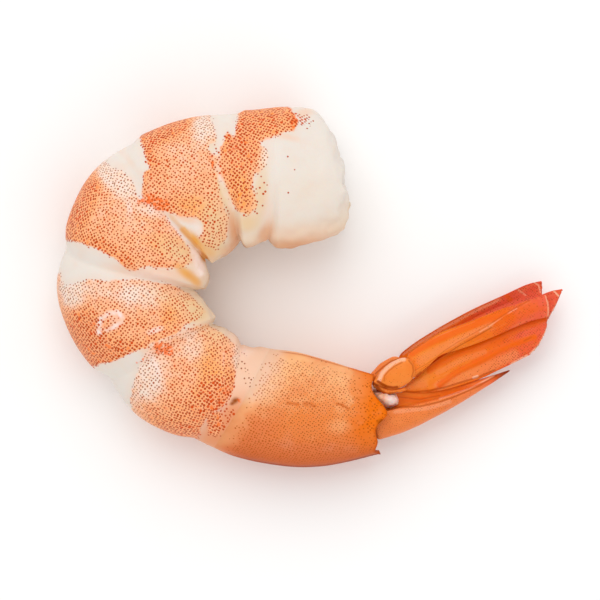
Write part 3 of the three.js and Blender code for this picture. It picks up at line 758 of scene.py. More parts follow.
def shell_fields(points, along, share, rim, pressed, inner):
    """The last shell: along runs from 0 at its front to 1 at its rear, and inner is true on its inside."""
    x, y, z = np.moveaxis(points, -1, 0)
    near = (z > SHELL_MIDDLE).astype(float)
    mottled = along + 0.08 * soft_noise(points, 2.2, 14)
    # Darker and redder on the side towards the back: partly the shell's own colour, partly painted shade on
    # the side turned from the light.
    back = 0.9 * (1 - ease(0.15, 0.5, share)) * ease(-0.1, 0.24, mottled)
    keel = 0.8 * (1 - ease(0.0, 0.1, share + 0.02 * soft_noise(points, 2.0, 12))) * ease(0.0, 0.4, along)
    return {
        "depth": clamp01(
            0.05
            + 0.4 * ease(-0.05, 0.14, along)
            + 0.2 * ease(0.1, 0.4, along)
            + 0.4 * ease(0.72, 0.95, along)
            # Lighter towards the belly: partly painted light on the side that faces the light.
            - 0.25 * ease(0.42, 0.66, share) * (1 - 0.7 * ease(0.7, 0.95, along))
        ),
        "red": clamp01(
            back * (1 - 0.5 * ease(0.75, 0.95, along))
            + 0.4 * (1 - ease(0.4, 0.6, share)) * (1 - ease(0.15, 0.4, along))
            + 0.8 * oval_strength(SHELL_REDS, x, y) * near
        ),
        "dotted": (
            ease(0.0, 0.14, along - 0.03 * (1 - ease(0.4, 0.6, share)))
            * (1 - 0.35 * ease(0.68, 0.85, along))
            * (1 - 0.9 * ease(0.66, 0.76, share))
        ),
        "bare": clamp01(
            (1 - ease(0, 0.3, along)) * ease(0.42, 0.6, share) + oval_strength(SHELL_BARES, x, y)
        ),
        # The paler places include a painted sheen on the shell's near side.
        "pale_and_highlight": oval_strength(SHELL_PALES_AND_SHEEN, x, y) * near,
        "line": clamp01(
            0.75 * ridge(share - SIDE_LINE, 0.012) * ease(0.08, 0.2, along)
            + 0.7 * rim
            + 0.85 * (1 - ease(0.02, 0.3, share)) * ease(0.0, 0.2, along) * ~inner
            + 0.8 * pressed
        ),
        "keel": keel * ~inner,
        "dark": oval_strength(SHELL_SPOTS, x, y),
    }


def fan_fields(name, points, tip, dotted, **more):
    """A piece of the fan: its streaks, and other numbers that are given, which add to them."""
    x, y, _ = np.moveaxis(points, -1, 0)
    flat = np.zeros(x.shape)
    fields = {"tip": tip, "dotted": dotted + flat, "dark": flat, "fibre": flat}
    for kind in ("clear", "pale_and_highlight", "rib", "line"):
        fields[kind] = streak_strength(FAN_STREAKS[name].get(kind, ()), x, y)
    for key, values in more.items():
        fields[key] = np.clip(fields[key] + values, -1, 1)
    return fields


def streak_relief(fields):
    """How far the streaks of the fan stand up or lie deep, in mm."""
    return 0.06 * fields["rib"] + 0.05 * fields["pale_and_highlight"] - 0.07 * fields["line"]


# Meshes

def all_round(rows, columns):
    """A grid of places along a piece by turns all the way round it."""
    return np.meshgrid(rows, np.linspace(-math.pi, math.pi, columns), indexing="ij")


def run_of(table, t):
    """A tail piece's centre line at shares t of its length: its rows, and the way across it."""
    last = len(table) - 1
    before = smooth_through(table, np.maximum(t * last - 0.05, 0))
    after = smooth_through(table, np.minimum(t * last + 0.05, last))
    along = (after - before)[..., :2]
    along = along / np.linalg.norm(along, axis=-1, keepdims=True)
    return smooth_at(table, t), np.stack([-along[..., 1], along[..., 0], np.zeros(t.shape)], -1)


def surface_normals(points):
    """Outward directions on a grid of points. The grid's rows run along a piece and its columns round it."""
    normals = np.cross(np.gradient(points, axis=1), np.gradient(points, axis=0))
    lengths = np.linalg.norm(normals, axis=-1, keepdims=True)
    normals = np.where(lengths > 1e-9, normals / np.maximum(lengths, 1e-9), 0)
    middle = points.mean(axis=1, keepdims=True)
    outward = np.sum(normals * (points - middle))
    return normals * np.sign(outward)


def surface_normals_outer(points):
    """Outward directions on a tube whose grid runs along its outer face and back along its inner one."""
    half = (points.shape[0] + 1) // 2
    outer = surface_normals(points[:half])
    return np.concatenate([outer, outer[::-1][1:-1], outer[:1]])


def swept_mesh(name, points, fields, smooth_points=None):
    """A closed mesh over a grid of points in mm: rows run along the piece, columns all the way round it.

    fields are numbers for each point, kept as attributes. smooth_points, without the small relief, give the
    skin map.
    """
    rows, columns = points.shape[0] - 1, points.shape[1] - 1
    grid = bmesh.new()
    bmesh.ops.create_grid(grid, x_segments=rows, y_segments=columns, size=0.5)
    mesh = bpy.data.meshes.new(name)
    grid.to_mesh(mesh)
    grid.free()
    flat = np.zeros(len(mesh.vertices) * 3)
    mesh.vertices.foreach_get("co", flat)
    flat = flat.reshape(-1, 3) + 0.5
    row = np.rint(flat[:, 0] * rows).astype(int)
    column = np.rint(flat[:, 1] * columns).astype(int)
    mesh.vertices.foreach_set("co", ((points[row, column] + TO_PART) * MM).ravel())
    for key, values in fields.items():
        attribute = mesh.attributes.new(key, "FLOAT", "POINT")
        attribute.data.foreach_set("value", values[row, column].astype(np.float32))
    corners = np.zeros(len(mesh.loops), int)
    mesh.loops.foreach_get("vertex_index", corners)
    places = skin_places(points if smooth_points is None else smooth_points)(row[corners], column[corners])
    layer = mesh.uv_layers.new(name="skin_mm")
    layer.data.foreach_set("uv", places.astype(np.float32).ravel())
    closed = bmesh.new()
    closed.from_mesh(mesh)
    bmesh.ops.remove_doubles(closed, verts=closed.verts, dist=MERGE_DISTANCE)
    bmesh.ops.recalc_face_normals(closed, faces=closed.faces)
    closed.to_mesh(mesh)
    closed.free()
    mesh.shade_smooth()
    return mesh


def skin_places(points):
    """A skin map in mm with little stretch: each face lies as it looks from the nearest of 26 directions."""
    normals = surface_normals(points)
    outward = np.array([d for d in itertools.product((-1, 0, 1), repeat=3) if any(d)], float)
    outward /= np.linalg.norm(outward, axis=1, keepdims=True)
    sideways = np.cross(outward, (0.36, 0.48, 0.8))
    sideways /= np.linalg.norm(sideways, axis=1, keepdims=True)
    upward = np.cross(outward, sideways)

    def places(row, column):
        facing = normals[row, column].reshape(-1, 4, 3).sum(axis=1)
        nearest = np.argmax(facing @ outward.T, axis=1).repeat(4)
        corners = points[row, column]
        across = np.sum(corners * sideways[nearest], axis=1) + VIEW_SPACING * nearest
        return np.stack([across, np.sum(corners * upward[nearest], axis=1)], -1)

    return places


def add_piece(name, mesh, material, slot, *nodes):
    """Puts a finished mesh in the scene, on the shrimp's body and in place of its plain solids."""
    mesh.materials.append(material)
    piece = bpy.data.objects.new(name, mesh)
    bpy.context.scene.collection.objects.link(piece)
    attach(piece, BODY)
    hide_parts(*nodes)


# Materials

# The sockets of a Mix node that mixes colours.
FACTOR = 0
UNDER = 6
OVER = 7
MIXED = 2
SMOOTH = {"interpolation_type": "SMOOTHSTEP"}  # makes a Map Range node ease in and out
# Most noise values lie between these two.
NOISE_LOW = 0.3
NOISE_HIGH = 0.7
NOISE_ROUGHNESS = 0.55
# Pigment dots stray a little from even rows. A few are soft: those whose random number is above these two.
# A dot and the ring round it fade between two distances in from the dot's rim, in dot spacings.
DOT_SCATTER = 0.42
SOFT_FROM = 0.84
SOFT_TO = 0.88
DOT_FADE = (-0.07, 0.05)
RING_FADE = (-0.36, -0.04)
SKIN_FIELDS = (
    "pigment", "dotted", "depth", "yellow", "cream", "blush",
    "painted_shade", "salmon", "amber_glow", "rust", "milky", "dark",
)
SHELL_FIELDS = ("depth", "red", "dotted", "bare", "pale_and_highlight", "line", "keel", "dark")
FIN_FIELDS = ("tip", "fibre", "clear", "rib", "line", "pale_and_highlight", "dotted", "dark")


def from_hex(code):
    """An sRGB hex colour as linear red, green and blue."""
    channels = [int(code[i : i + 2], 16) / 255 for i in (0, 2, 4)]
    return tuple(c / 12.92 if c <= 0.04045 else ((c + 0.055) / 1.055) ** 2.4 for c in channels)


def add_node(tree, kind, settings=None, links=None):
    """Adds a node with its settings and input values, and links other nodes' outputs to its inputs."""
    node = tree.nodes.new(kind)
    for key, value in (settings or {}).items():
        if isinstance(key, str) and hasattr(node, key):
            setattr(node, key, value)
        else:
            node.inputs[key].default_value = value
    for key, output in (links or {}).items():
        tree.links.new(output, node.inputs[key])
    return node


def opaque(colour):
    return (*colour[:3], 1.0)


def new_material(name, field_names=()):
    """A material, its empty node tree, and outputs that hold a piece's own numbers, by name."""
    material = bpy.data.materials.new(name)
    material.use_nodes = True
    tree = material.node_tree
    tree.nodes.clear()
    fields = {}
    for field in field_names:
        fields[field] = add_node(tree, "ShaderNodeAttribute", {"attribute_name": field}).outputs["Fac"]
    return material, tree, fields


def finish_material(tree, settings, links):
    """The surface shader and the output."""
    shader = add_node(tree, "ShaderNodeBsdfPrincipled", settings, links)
    add_node(tree, "ShaderNodeOutputMaterial", links={"Surface": shader.outputs["BSDF"]})


def colour_in_layers(tree, base, layers):
    """Lays colours over a base one after another. Each layer is a strength output and a colour."""
    for strength, colour in layers:
        settings = {"data_type": "RGBA", OVER: opaque(colour)}
        mix = add_node(tree, "ShaderNodeMix", settings, {FACTOR: strength, UNDER: base})
        base = mix.outputs[MIXED]
    return base


def noises_of(tree, *patterns):
    """Noise outputs in the piece's own space, each from the width of its patches in mm and its detail."""
    place = add_node(tree, "ShaderNodeTexCoord").outputs["Object"]
    noises = []
    for width, detail in patterns:
        settings = {"Scale": 1 / (width * MM), "Detail": detail, "Roughness": NOISE_ROUGHNESS}
        noises.append(add_node(tree, "ShaderNodeTexNoise", settings, {"Vector": place}).outputs[0])
    return noises


def nudged(tree, value, noise, amount):
    """Adds noise between -amount and amount to a value."""
    settings = {"From Min": NOISE_LOW, "From Max": NOISE_HIGH, "To Min": -amount, "To Max": amount}
    swing = add_node(tree, "ShaderNodeMapRange", settings, {"Value": noise})
    return add_node(tree, "ShaderNodeMath", {"operation": "ADD"}, {0: value, 1: swing.outputs[0]}).outputs[0]


def scaled_with(tree, strength, value, low, high, start=0.0, end=1.0):
    """A strength times a factor that goes smoothly from low to high as value goes from start to end."""
    settings = {**SMOOTH, "From Min": start, "From Max": end, "To Min": low, "To Max": high}
    factor = add_node(tree, "ShaderNodeMapRange", settings, {"Value": value}).outputs[0]
    return add_node(tree, "ShaderNodeMath", {"operation": "MULTIPLY"}, {0: strength, 1: factor}).outputs[0]


def set_stops(ramp, stops):
    """Gives a colour ramp its stops, each a position and a colour, and returns its colour output."""
    elements = ramp.color_ramp.elements
    elements.remove(elements[1])
    elements[0].position = stops[0][0]
    elements[0].color = opaque(stops[0][1])
    for position, colour in stops[1:]:
        elements.new(position).color = opaque(colour)
    return ramp.outputs["Color"]


def pigment_dots(tree, look, share, growth):
    """Round pigment cells on the skin map: how strongly each point is covered by a dot, how strongly by the
    paler ring round it, and whether the dot there is a soft red one and not a crisp brown one.

    share of the cells hold a dot, and their dots are larger where growth is nearer to 1.
    """
    spacing = look.dot_spacing / MM
    skin = add_node(tree, "ShaderNodeUVMap", {"uv_map": "skin_mm"})
    cells = add_node(
        tree,
        "ShaderNodeTexVoronoi",
        {"voronoi_dimensions": "2D", "Scale": 1 / spacing, "Randomness": DOT_SCATTER},
        {"Vector": skin.outputs["UV"]},
    )
    random = add_node(tree, "ShaderNodeSeparateColor", links={"Color": cells.outputs["Color"]})
    soft = add_node(
        tree,
        "ShaderNodeMapRange",
        {**SMOOTH, "From Min": SOFT_FROM, "From Max": SOFT_TO},
        {"Value": random.outputs["Blue"]},
    )
    radius = add_node(
        tree,
        "ShaderNodeMapRange",
        {**SMOOTH, "To Min": look.small_dot / MM / spacing, "To Max": look.large_dot / MM / spacing},
        {"Value": random.outputs["Red"]},
    )
    grown = scaled_with(tree, radius.outputs[0], growth, 0.85, 1.4, 0.1, 0.95)
    grown = scaled_with(tree, grown, soft.outputs[0], 1.0, 1.25)
    inside = add_node(
        tree, "ShaderNodeMath", {"operation": "SUBTRACT"}, {0: grown, 1: cells.outputs["Distance"]}
    )
    there = add_node(
        tree, "ShaderNodeMath", {"operation": "LESS_THAN"}, {0: random.outputs["Green"], 1: share}
    )
    shown = scaled_with(tree, there.outputs[0], random.outputs["Red"], 0.9, 1.0)
    dot = scaled_with(tree, shown, inside.outputs[0], 0.0, 1.0, *DOT_FADE)
    ring = scaled_with(tree, shown, inside.outputs[0], 0.0, 1.0, *RING_FADE)
    return dot, ring, soft.outputs[0]


def cooked_skin(look):
    """Cooked shrimp muscle under its thin skin.

    Boiled muscle is dense and milky, so light goes a little way in and the shading is soft and warm. The
    skin over it is wet, and its pigment cells show as red dots in an orange wash that is deepest towards the
    tail of each segment. Painted shade warms the muscle along the belly and in the creases, and a painted
    amber glow lies in the deepest creases and on the flesh's end.
    """
    material, tree, field = new_material("cooked_muscle_and_skin", SKIN_FIELDS)
    cloud, patchy, grain, smears, flecks, flushes = noises_of(
        tree, (3.0, 3.0), (1.0, 2.0), (0.4, 2.0), (0.5, 2.0), (0.6, 2.0), (0.9, 2.0)
    )

    clouded = add_node(
        tree,
        "ShaderNodeMapRange",
        {**SMOOTH, "To Max": 0.4, "From Min": 0.45, "From Max": 0.8},
        {"Value": cloud},
    )
    muscle = add_node(
        tree,
        "ShaderNodeMix",
        {"data_type": "RGBA", UNDER: opaque(look.muscle), OVER: opaque(look.warm_muscle)},
        {FACTOR: clouded.outputs[0]},
    )
    beside_skin = add_node(
        tree,
        "ShaderNodeMapRange",
        {**SMOOTH, "To Max": 0.5, "From Min": -1.5, "From Max": 0.2},
        {"Value": field["pigment"]},
    )
    bare = colour_in_layers(
        tree,
        muscle.outputs[MIXED],
        [
            (beside_skin.outputs[0], look.warm_muscle),
            (field["cream"], look.cream),
            (field["blush"], look.blush),
            # Painted shade along the belly and in the creases.
            (field["painted_shade"], look.painted_shade),
            (field["salmon"], look.salmon),
        ],
    )

    deepened = nudged(tree, nudged(tree, field["depth"], cloud, 0.08), patchy, 0.07)
    tint = set_stops(
        add_node(tree, "ShaderNodeValToRGB", links={"Fac": deepened}),
        [(0.0, look.pale_skin), (0.36, look.pink_skin), (0.68, look.orange_skin), (1.0, look.deep_skin)],
    )
    cover, ring, soft = pigment_dots(tree, look, field["dotted"], deepened)
    flecked = add_node(
        tree,
        "ShaderNodeMapRange",
        {**SMOOTH, "To Max": 0.35, "From Min": 0.45, "From Max": 0.7},
        {"Value": flecks},
    )
    skin = colour_in_layers(
        tree,
        tint,
        [
            (field["yellow"], look.yellow_skin),
            (field["cream"], look.cream),
            (scaled_with(tree, field["depth"], flushes, 0.0, 0.6, 0.48, 0.66), look.flush),
            (flecked.outputs[0], look.fleck),
            (scaled_with(tree, ring, deepened, 0.15, 0.75), look.ring),
        ],
    )

    ragged = nudged(tree, field["pigment"], patchy, 0.16)
    skinned = add_node(
        tree, "ShaderNodeMapRange", {**SMOOTH, "From Min": -0.2, "From Max": 0.25}, {"Value": ragged}
    )
    surface = add_node(
        tree, "ShaderNodeMix", {"data_type": "RGBA"}, {FACTOR: skinned.outputs[0], UNDER: bare, OVER: skin}
    )
    smeared = scaled_with(tree, field["rust"], smears, 0.4, 1.6, 0.35, 0.65)
    rusty = add_node(
        tree,
        "ShaderNodeMapRange",
        {**SMOOTH, "To Max": 0.85, "From Min": 0.3, "From Max": 0.95},
        {"Value": smeared},
    )
    marked = colour_in_layers(
        tree,
        surface.outputs[MIXED],
        [
            # Amber in the creases and on the flesh's end: partly painted glow of light through the flesh.
            (field["amber_glow"], look.amber_glow),
            (scaled_with(tree, field["milky"], patchy, 0.55, 1.1, 0.35, 0.6), look.milky),
            (rusty.outputs[0], look.rust),
        ],
    )

    ink = set_stops(
        add_node(tree, "ShaderNodeValToRGB", links={"Fac": deepened}),
        [(0.05, look.pale_dot), (0.36, look.brown_dot), (0.75, look.red_dot)],
    )
    ink = colour_in_layers(tree, ink, [(scaled_with(tree, soft, deepened, 0.15, 0.7), look.soft_dot)])
    dotted = add_node(
        tree, "ShaderNodeMix", {"data_type": "RGBA"}, {FACTOR: cover, UNDER: marked, OVER: ink}
    )
    colour = colour_in_layers(tree, dotted.outputs[MIXED], [(field["dark"], look.dark_mark)])

    relief = add_node(tree, "ShaderNodeBump", {"Strength": 0.35, "Distance": 0.04 * MM}, {"Height": grain})
    gloss = add_node(
        tree, "ShaderNodeMapRange", {**SMOOTH, "To Min": 0.36, "To Max": 0.55}, {"Value": cloud}
    )
    finish_material(
        tree,
        {
            "IOR": 1.38,
            "Specular IOR Level": 0.2,
            "Subsurface Weight": 0.12,
            "Subsurface Radius": (1.0, 0.5, 0.3),
            "Subsurface Scale": 0.6 * MM,
        },
        {"Base Color": colour, "Roughness": gloss.outputs[0], "Normal": relief.outputs["Normal"]},
    )
    return material


def cooked_shell(look):
    """Cooked shell of the last segment.

    Boiled chitin is thin, smooth and glassy over the flesh, so it is a clear saturated orange with small
    dots, darker where it folds over at the keel and the rims. It is lighter towards the belly and darker
    towards the back, partly its own colour and partly painted light and shade, and some of its paler places
    are painted sheen.
    """
    material, tree, field = new_material("cooked_chitin_shell", SHELL_FIELDS)
    cloud, patchy, grain = noises_of(tree, (3.5, 3.0), (1.0, 2.0), (0.4, 2.0))
    deepened = nudged(tree, nudged(tree, field["depth"], cloud, 0.1), patchy, 0.05)
    tint = set_stops(
        add_node(tree, "ShaderNodeValToRGB", links={"Fac": deepened}),
        [(0.05, look.front), (0.3, look.upper), (0.6, look.middle), (1.0, look.rear)],
    )
    growth = add_node(
        tree,
        "ShaderNodeMapRange",
        {**SMOOTH, "To Min": 0.5, "To Max": 0.4, "From Min": 0.2, "From Max": 0.6},
        {"Value": field["depth"]},
    )
    cover, ring, _ = pigment_dots(tree, look, field["dotted"], growth.outputs[0])
    ring = scaled_with(tree, ring, field["depth"], 1.0, 0.0, 0.55, 0.75)
    bared = nudged(tree, field["bare"], cloud, 0.2)
    through = add_node(tree, "ShaderNodeMapRange", SMOOTH, {"Value": bared})
    colour = colour_in_layers(
        tree,
        tint,
        [
            (nudged(tree, field["red"], cloud, 0.06), look.back),
            # Paler places, partly a painted sheen.
            (field["pale_and_highlight"], look.upper),
            (scaled_with(tree, ring, field["red"], 0.35, 0.0, 0.1, 0.7), look.upper),
            (through.outputs[0], look.flesh),
            (field["line"], look.line),
            (scaled_with(tree, cover, field["depth"], 0.8, 0.9, 0.2, 0.6), look.dot),
            (field["keel"], look.keel),
            (field["dark"], look.dark_mark),
        ],
    )
    relief = add_node(tree, "ShaderNodeBump", {"Strength": 0.25, "Distance": 0.03 * MM}, {"Height": grain})
    gloss = add_node(
        tree, "ShaderNodeMapRange", {**SMOOTH, "To Min": 0.28, "To Max": 0.45}, {"Value": cloud}
    )
    finish_material(
        tree,
        {
            "IOR": 1.5,
            "Specular IOR Level": 0.04,
            "Subsurface Weight": 0.15,
            "Subsurface Radius": (1.0, 0.4, 0.15),
            "Subsurface Scale": 0.8 * MM,
        },
        {"Base Color": colour, "Roughness": gloss.outputs[0], "Normal": relief.outputs["Normal"]},
    )
    return material


def cooked_fin(look):
    """Cooked shell of the tail fan.

    The blades are two thin layers of chitin with almost no flesh between, so they are glossier and more
    saturated than the body, orange at the root and pinkish red at the tip, with dark ribs and pale worn
    edges. Some pale streaks are painted highlights, one dark band is partly painted shadow, and one lighter
    band is painted light.
    """
    material, tree, field = new_material("cooked_chitin_fan", FIN_FIELDS)
    cloud, patchy, grain = noises_of(tree, (2.5, 3.0), (0.8, 2.0), (0.35, 2.0))
    reddened = nudged(tree, nudged(tree, field["tip"], cloud, 0.12), patchy, 0.06)
    tint = set_stops(
        add_node(tree, "ShaderNodeValToRGB", links={"Fac": reddened}),
        [(0.0, look.root), (0.35, look.middle), (0.7, look.outer), (1.0, look.tip)],
    )
    cover, _, _ = pigment_dots(tree, look, field["dotted"], field["tip"])
    thick = add_node(tree, "ShaderNodeMapRange", {**SMOOTH, "To Max": 0.3}, {"Value": field["fibre"]})
    thin = add_node(
        tree,
        "ShaderNodeMapRange",
        {**SMOOTH, "To Min": 0.3, "To Max": 0.0, "From Min": -1.0, "From Max": 0.0},
        {"Value": field["fibre"]},
    )
    colour = colour_in_layers(
        tree,
        tint,
        [
            (thick.outputs[0], look.rib),
            (thin.outputs[0], look.clear),
            # Thin places, and one painted band of light on the far exopod.
            (field["clear"], look.clear),
            # Pale worn edges, and painted highlights along lit edges.
            (field["pale_and_highlight"], look.pale_and_highlight),
            (scaled_with(tree, cover, patchy, 0.4, 0.9), look.dot),
            # Ribs and bands, one of them partly painted shadow.
            (field["rib"], look.rib),
            (field["line"], look.line),
            (field["dark"], look.dark_mark),
        ],
    )
    relief = add_node(tree, "ShaderNodeBump", {"Strength": 0.3, "Distance": 0.03 * MM}, {"Height": grain})
    gloss = add_node(
        tree, "ShaderNodeMapRange", {**SMOOTH, "To Min": 0.26, "To Max": 0.42}, {"Value": cloud}
    )
    finish_material(
        tree,
        {
            "IOR": 1.5,
            "Specular IOR Level": 0.1,
            "Subsurface Weight": 0.2,
            "Subsurface Radius": (1.0, 0.35, 0.12),
            "Subsurface Scale": 0.5 * MM,
        },
        {"Base Color": colour, "Roughness": gloss.outputs[0], "Normal": relief.outputs["Normal"]},
    )
    return material


def joint_membrane(look):
    """White joint tissue behind the last shell.

    Boiled connective tissue is moist and cloudy, so light spreads inside it and it looks soft and white. It
    takes on the pink of the shell where it meets it.
    """
    material, tree, field = new_material("cooked_joint_membrane", ["pinkish"])
    place = add_node(tree, "ShaderNodeTexCoord").outputs["Object"]
    cloud = add_node(tree, "ShaderNodeTexNoise", {"Scale": 1 / (1.5 * MM), "Detail": 3.0}, {"Vector": place})
    colour = add_node(
        tree,
        "ShaderNodeMix",
        {"data_type": "RGBA", UNDER: opaque(look.tissue), OVER: opaque(look.pale_and_highlight)},
        {FACTOR: nudged(tree, field["pinkish"], cloud.outputs[0], 0.2)},
    )
    finish_material(
        tree,
        {
            "IOR": 1.4,
            "Roughness": 0.5,
            "Specular IOR Level": 0.3,
            "Subsurface Weight": 0.4,
            "Subsurface Scale": 0.6 * MM,
        },
        {"Base Color": colour.outputs[MIXED]},
    )
    return material


def studio_paper(look):
    """Matt white paper sweep: an even, pale surface with no gloss, which only shows the soft shadow."""
    material, tree, _ = new_material("matt_paper")
    place = add_node(tree, "ShaderNodeTexCoord").outputs["Object"]
    fibre = add_node(tree, "ShaderNodeTexNoise", {"Scale": 1 / (2.0 * MM), "Detail": 2.0}, {"Vector": place})
    bump = add_node(
        tree, "ShaderNodeBump", {"Strength": 0.05, "Distance": 0.02 * MM}, {"Height": fibre.outputs[0]}
    )
    finish_material(
        tree, {"Base Color": opaque(look.floor), "Roughness": 0.9}, {"Normal": bump.outputs["Normal"]}
    )
    return material


# Settings

def colour_setting(name, code, description):
    return FloatVectorProperty(
        name=name, description=description, subtype="COLOR", size=3, min=0.0, max=1.0, default=from_hex(code)
    )


def length_setting(name, millimetres, description):
    return FloatProperty(
        name=name, description=description, unit="LENGTH", min=0.0, precision=5, default=millimetres * MM
    )


class FleshSettings(bpy.types.PropertyGroup):
    muscle: colour_setting("Muscle", "E5DBD1", "Bare cooked muscle at the neck and between the skin patches")
    warm_muscle: colour_setting("Warm muscle", "E8CFBE", "Muscle where a little colour shines through")
    milky: colour_setting("Milky", "F4DCD2", "Scars, flaps and worn skin")
    blush: colour_setting("Blush", "EFC2A4", "Bare muscle tinted by the skin beside it")
    # Painted shade: the darker, warmer colour laid where shade falls along the belly and in the creases.
    painted_shade: colour_setting("Peach", "DFA072", "Shaded muscle along the belly and in the creases")
    salmon: colour_setting("Salmon", "E6905E", "Flesh that the last shell tints at its front edge")
    # Partly painted light: a glow through the flesh in the belly creases and on its shaded end.
    amber_glow: colour_setting("Amber", "E6A040", "Bare amber streaks in the creases")
    pale_skin: colour_setting("Pale skin", "F2DACB", "Skin at the front of a segment")
    pink_skin: colour_setting("Pink skin", "FBB489", "Skin in the middle of a segment")
    orange_skin: colour_setting("Orange skin", "F99A58", "Skin towards the rear of a segment")
    deep_skin: colour_setting("Deep skin", "F37A30", "Skin at the rear edge of a segment")
    yellow_skin: colour_setting("Yellow skin", "F8A040", "Skin where it is yellow, low on the sides")
    cream: colour_setting("Cream", "E6C496", "Thin cream-coloured flaps low on the sides")
    fleck: colour_setting("Fleck", "FAC898", "Yellowish flecks between the pigment dots")
    flush: colour_setting("Flush", "F07C50", "Redder patches between the pigment dots")
    ring: colour_setting("Ring", "FFCE9C", "Paler skin round each pigment dot")
    rust: colour_setting("Rust", "F46A1C", "Smears of pigment at the hinges")
    dark_mark: colour_setting("Dark mark", "964600", "The brown spots at the last hinges")
    red_dot: colour_setting("Red dot", "BE4200", "Pigment dots in deep skin")
    brown_dot: colour_setting("Brown dot", "B64400", "Pigment dots in pink skin")
    pale_dot: colour_setting("Pale dot", "94461C", "Pigment dots in pale skin")
    soft_dot: colour_setting("Soft dot", "DE5010", "The few large pigment dots with soft edges")
    dot_spacing: length_setting("Dot spacing", 0.45, "Distance between pigment dots")
    small_dot: length_setting("Small dot", 0.104, "Radius of the smallest pigment dots")
    large_dot: length_setting("Large dot", 0.138, "Radius of the largest pigment dots")
    skin_step: length_setting("Skin step", 0.05, "How far the skin stands above bare muscle")
    wrinkle: length_setting("Wrinkle", 0.05, "Height of the soft lumps on the muscle")
    tear: length_setting("Tear", 0.55, "Height of the torn lumps on the cut neck")


class ShellSettings(bpy.types.PropertyGroup):
    flesh: colour_setting("Flesh", "EEC0A2", "Flesh that shines through the thin front of the shell")
    front: colour_setting("Front", "EC9E6A", "Front of the shell")
    # Partly painted light: the belly side of the shell is lighter where the light falls.
    upper: colour_setting("Upper", "F9BA84", "Upper part of the shell, towards the belly")
    middle: colour_setting("Middle", "E8823E", "Middle of the shell")
    # Partly painted shade: the side towards the back is darker, turned from the light.
    rear: colour_setting("Rear", "EA7000", "Rear of the shell")
    back: colour_setting("Back", "DE7844", "Side of the shell towards the back")
    dot: colour_setting("Dot", "B24E00", "Pigment dots")
    line: colour_setting("Line", "C05004", "Rims and pressed lines")
    keel: colour_setting("Keel", "8E3000", "The keel along the middle of the back")
    dark_mark: colour_setting("Dark mark", "984600", "The brown spot at the rear")
    dot_spacing: length_setting("Dot spacing", 0.42, "Distance between pigment dots")
    small_dot: length_setting("Small dot", 0.075, "Radius of the smallest pigment dots")
    large_dot: length_setting("Large dot", 0.105, "Radius of the largest pigment dots")
    wall: length_setting("Wall", 0.4, "Thickness of the shell")


class FanSettings(bpy.types.PropertyGroup):
    root: colour_setting("Root", "EE862E", "Fan near the body")
    middle: colour_setting("Middle", "EA7410", "Middle of the fan")
    outer: colour_setting("Outer", "E8621A", "Outer half of the fan")
    tip: colour_setting("Tip", "E65C40", "Fan at its tips")
    clear: colour_setting("Clear", "EE8C54", "Thin places of the fan, which light shines through")
    # Also the colour of painted highlights along lit edges of the fan.
    pale_and_highlight: colour_setting("Pale", "F8BC98", "Worn edges and the pale strips between ribs")
    rib: colour_setting("Rib", "EA6200", "Ribs and thick bands")
    line: colour_setting("Line", "B04A04", "Fine dark lines beside ribs and margins")
    dot: colour_setting("Dot", "A84008", "Pigment dots")
    dark_mark: colour_setting("Dark mark", "7A2A08", "The dark tip of the telson")
    tissue: colour_setting("Joint tissue", "EFD9D0", "White tissue in the joint behind the shell")
    dot_spacing: length_setting("Dot spacing", 0.3, "Distance between pigment dots")
    small_dot: length_setting("Small dot", 0.035, "Radius of the smallest pigment dots")
    large_dot: length_setting("Large dot", 0.065, "Radius of the largest pigment dots")
    blade_half: length_setting("Blade", 0.22, "Half the thickness of a blade")
    rib_height: length_setting("Rib height", 0.24, "How far a rib stands above its blade")


class StudioSettings(bpy.types.PropertyGroup):
    floor: colour_setting("Floor", "FAF9F8", "Paper under the shrimp")
    key_power: FloatProperty(
        name="Key power", description="Power of the main soft light", unit="POWER", default=2.3
    )
    fill_power: FloatProperty(
        name="Fill power", description="Power of the low front light", unit="POWER", default=0.7
    )
    world_strength: FloatProperty(name="Room light", description="Even light from all round", default=0.78)
    lens: FloatProperty(name="Lens", description="Focal length", subtype="DISTANCE_CAMERA", default=300.0)
    focus_height: length_setting("Focus height", 8.0, "Height at which the picture has its true scale")


# Operators

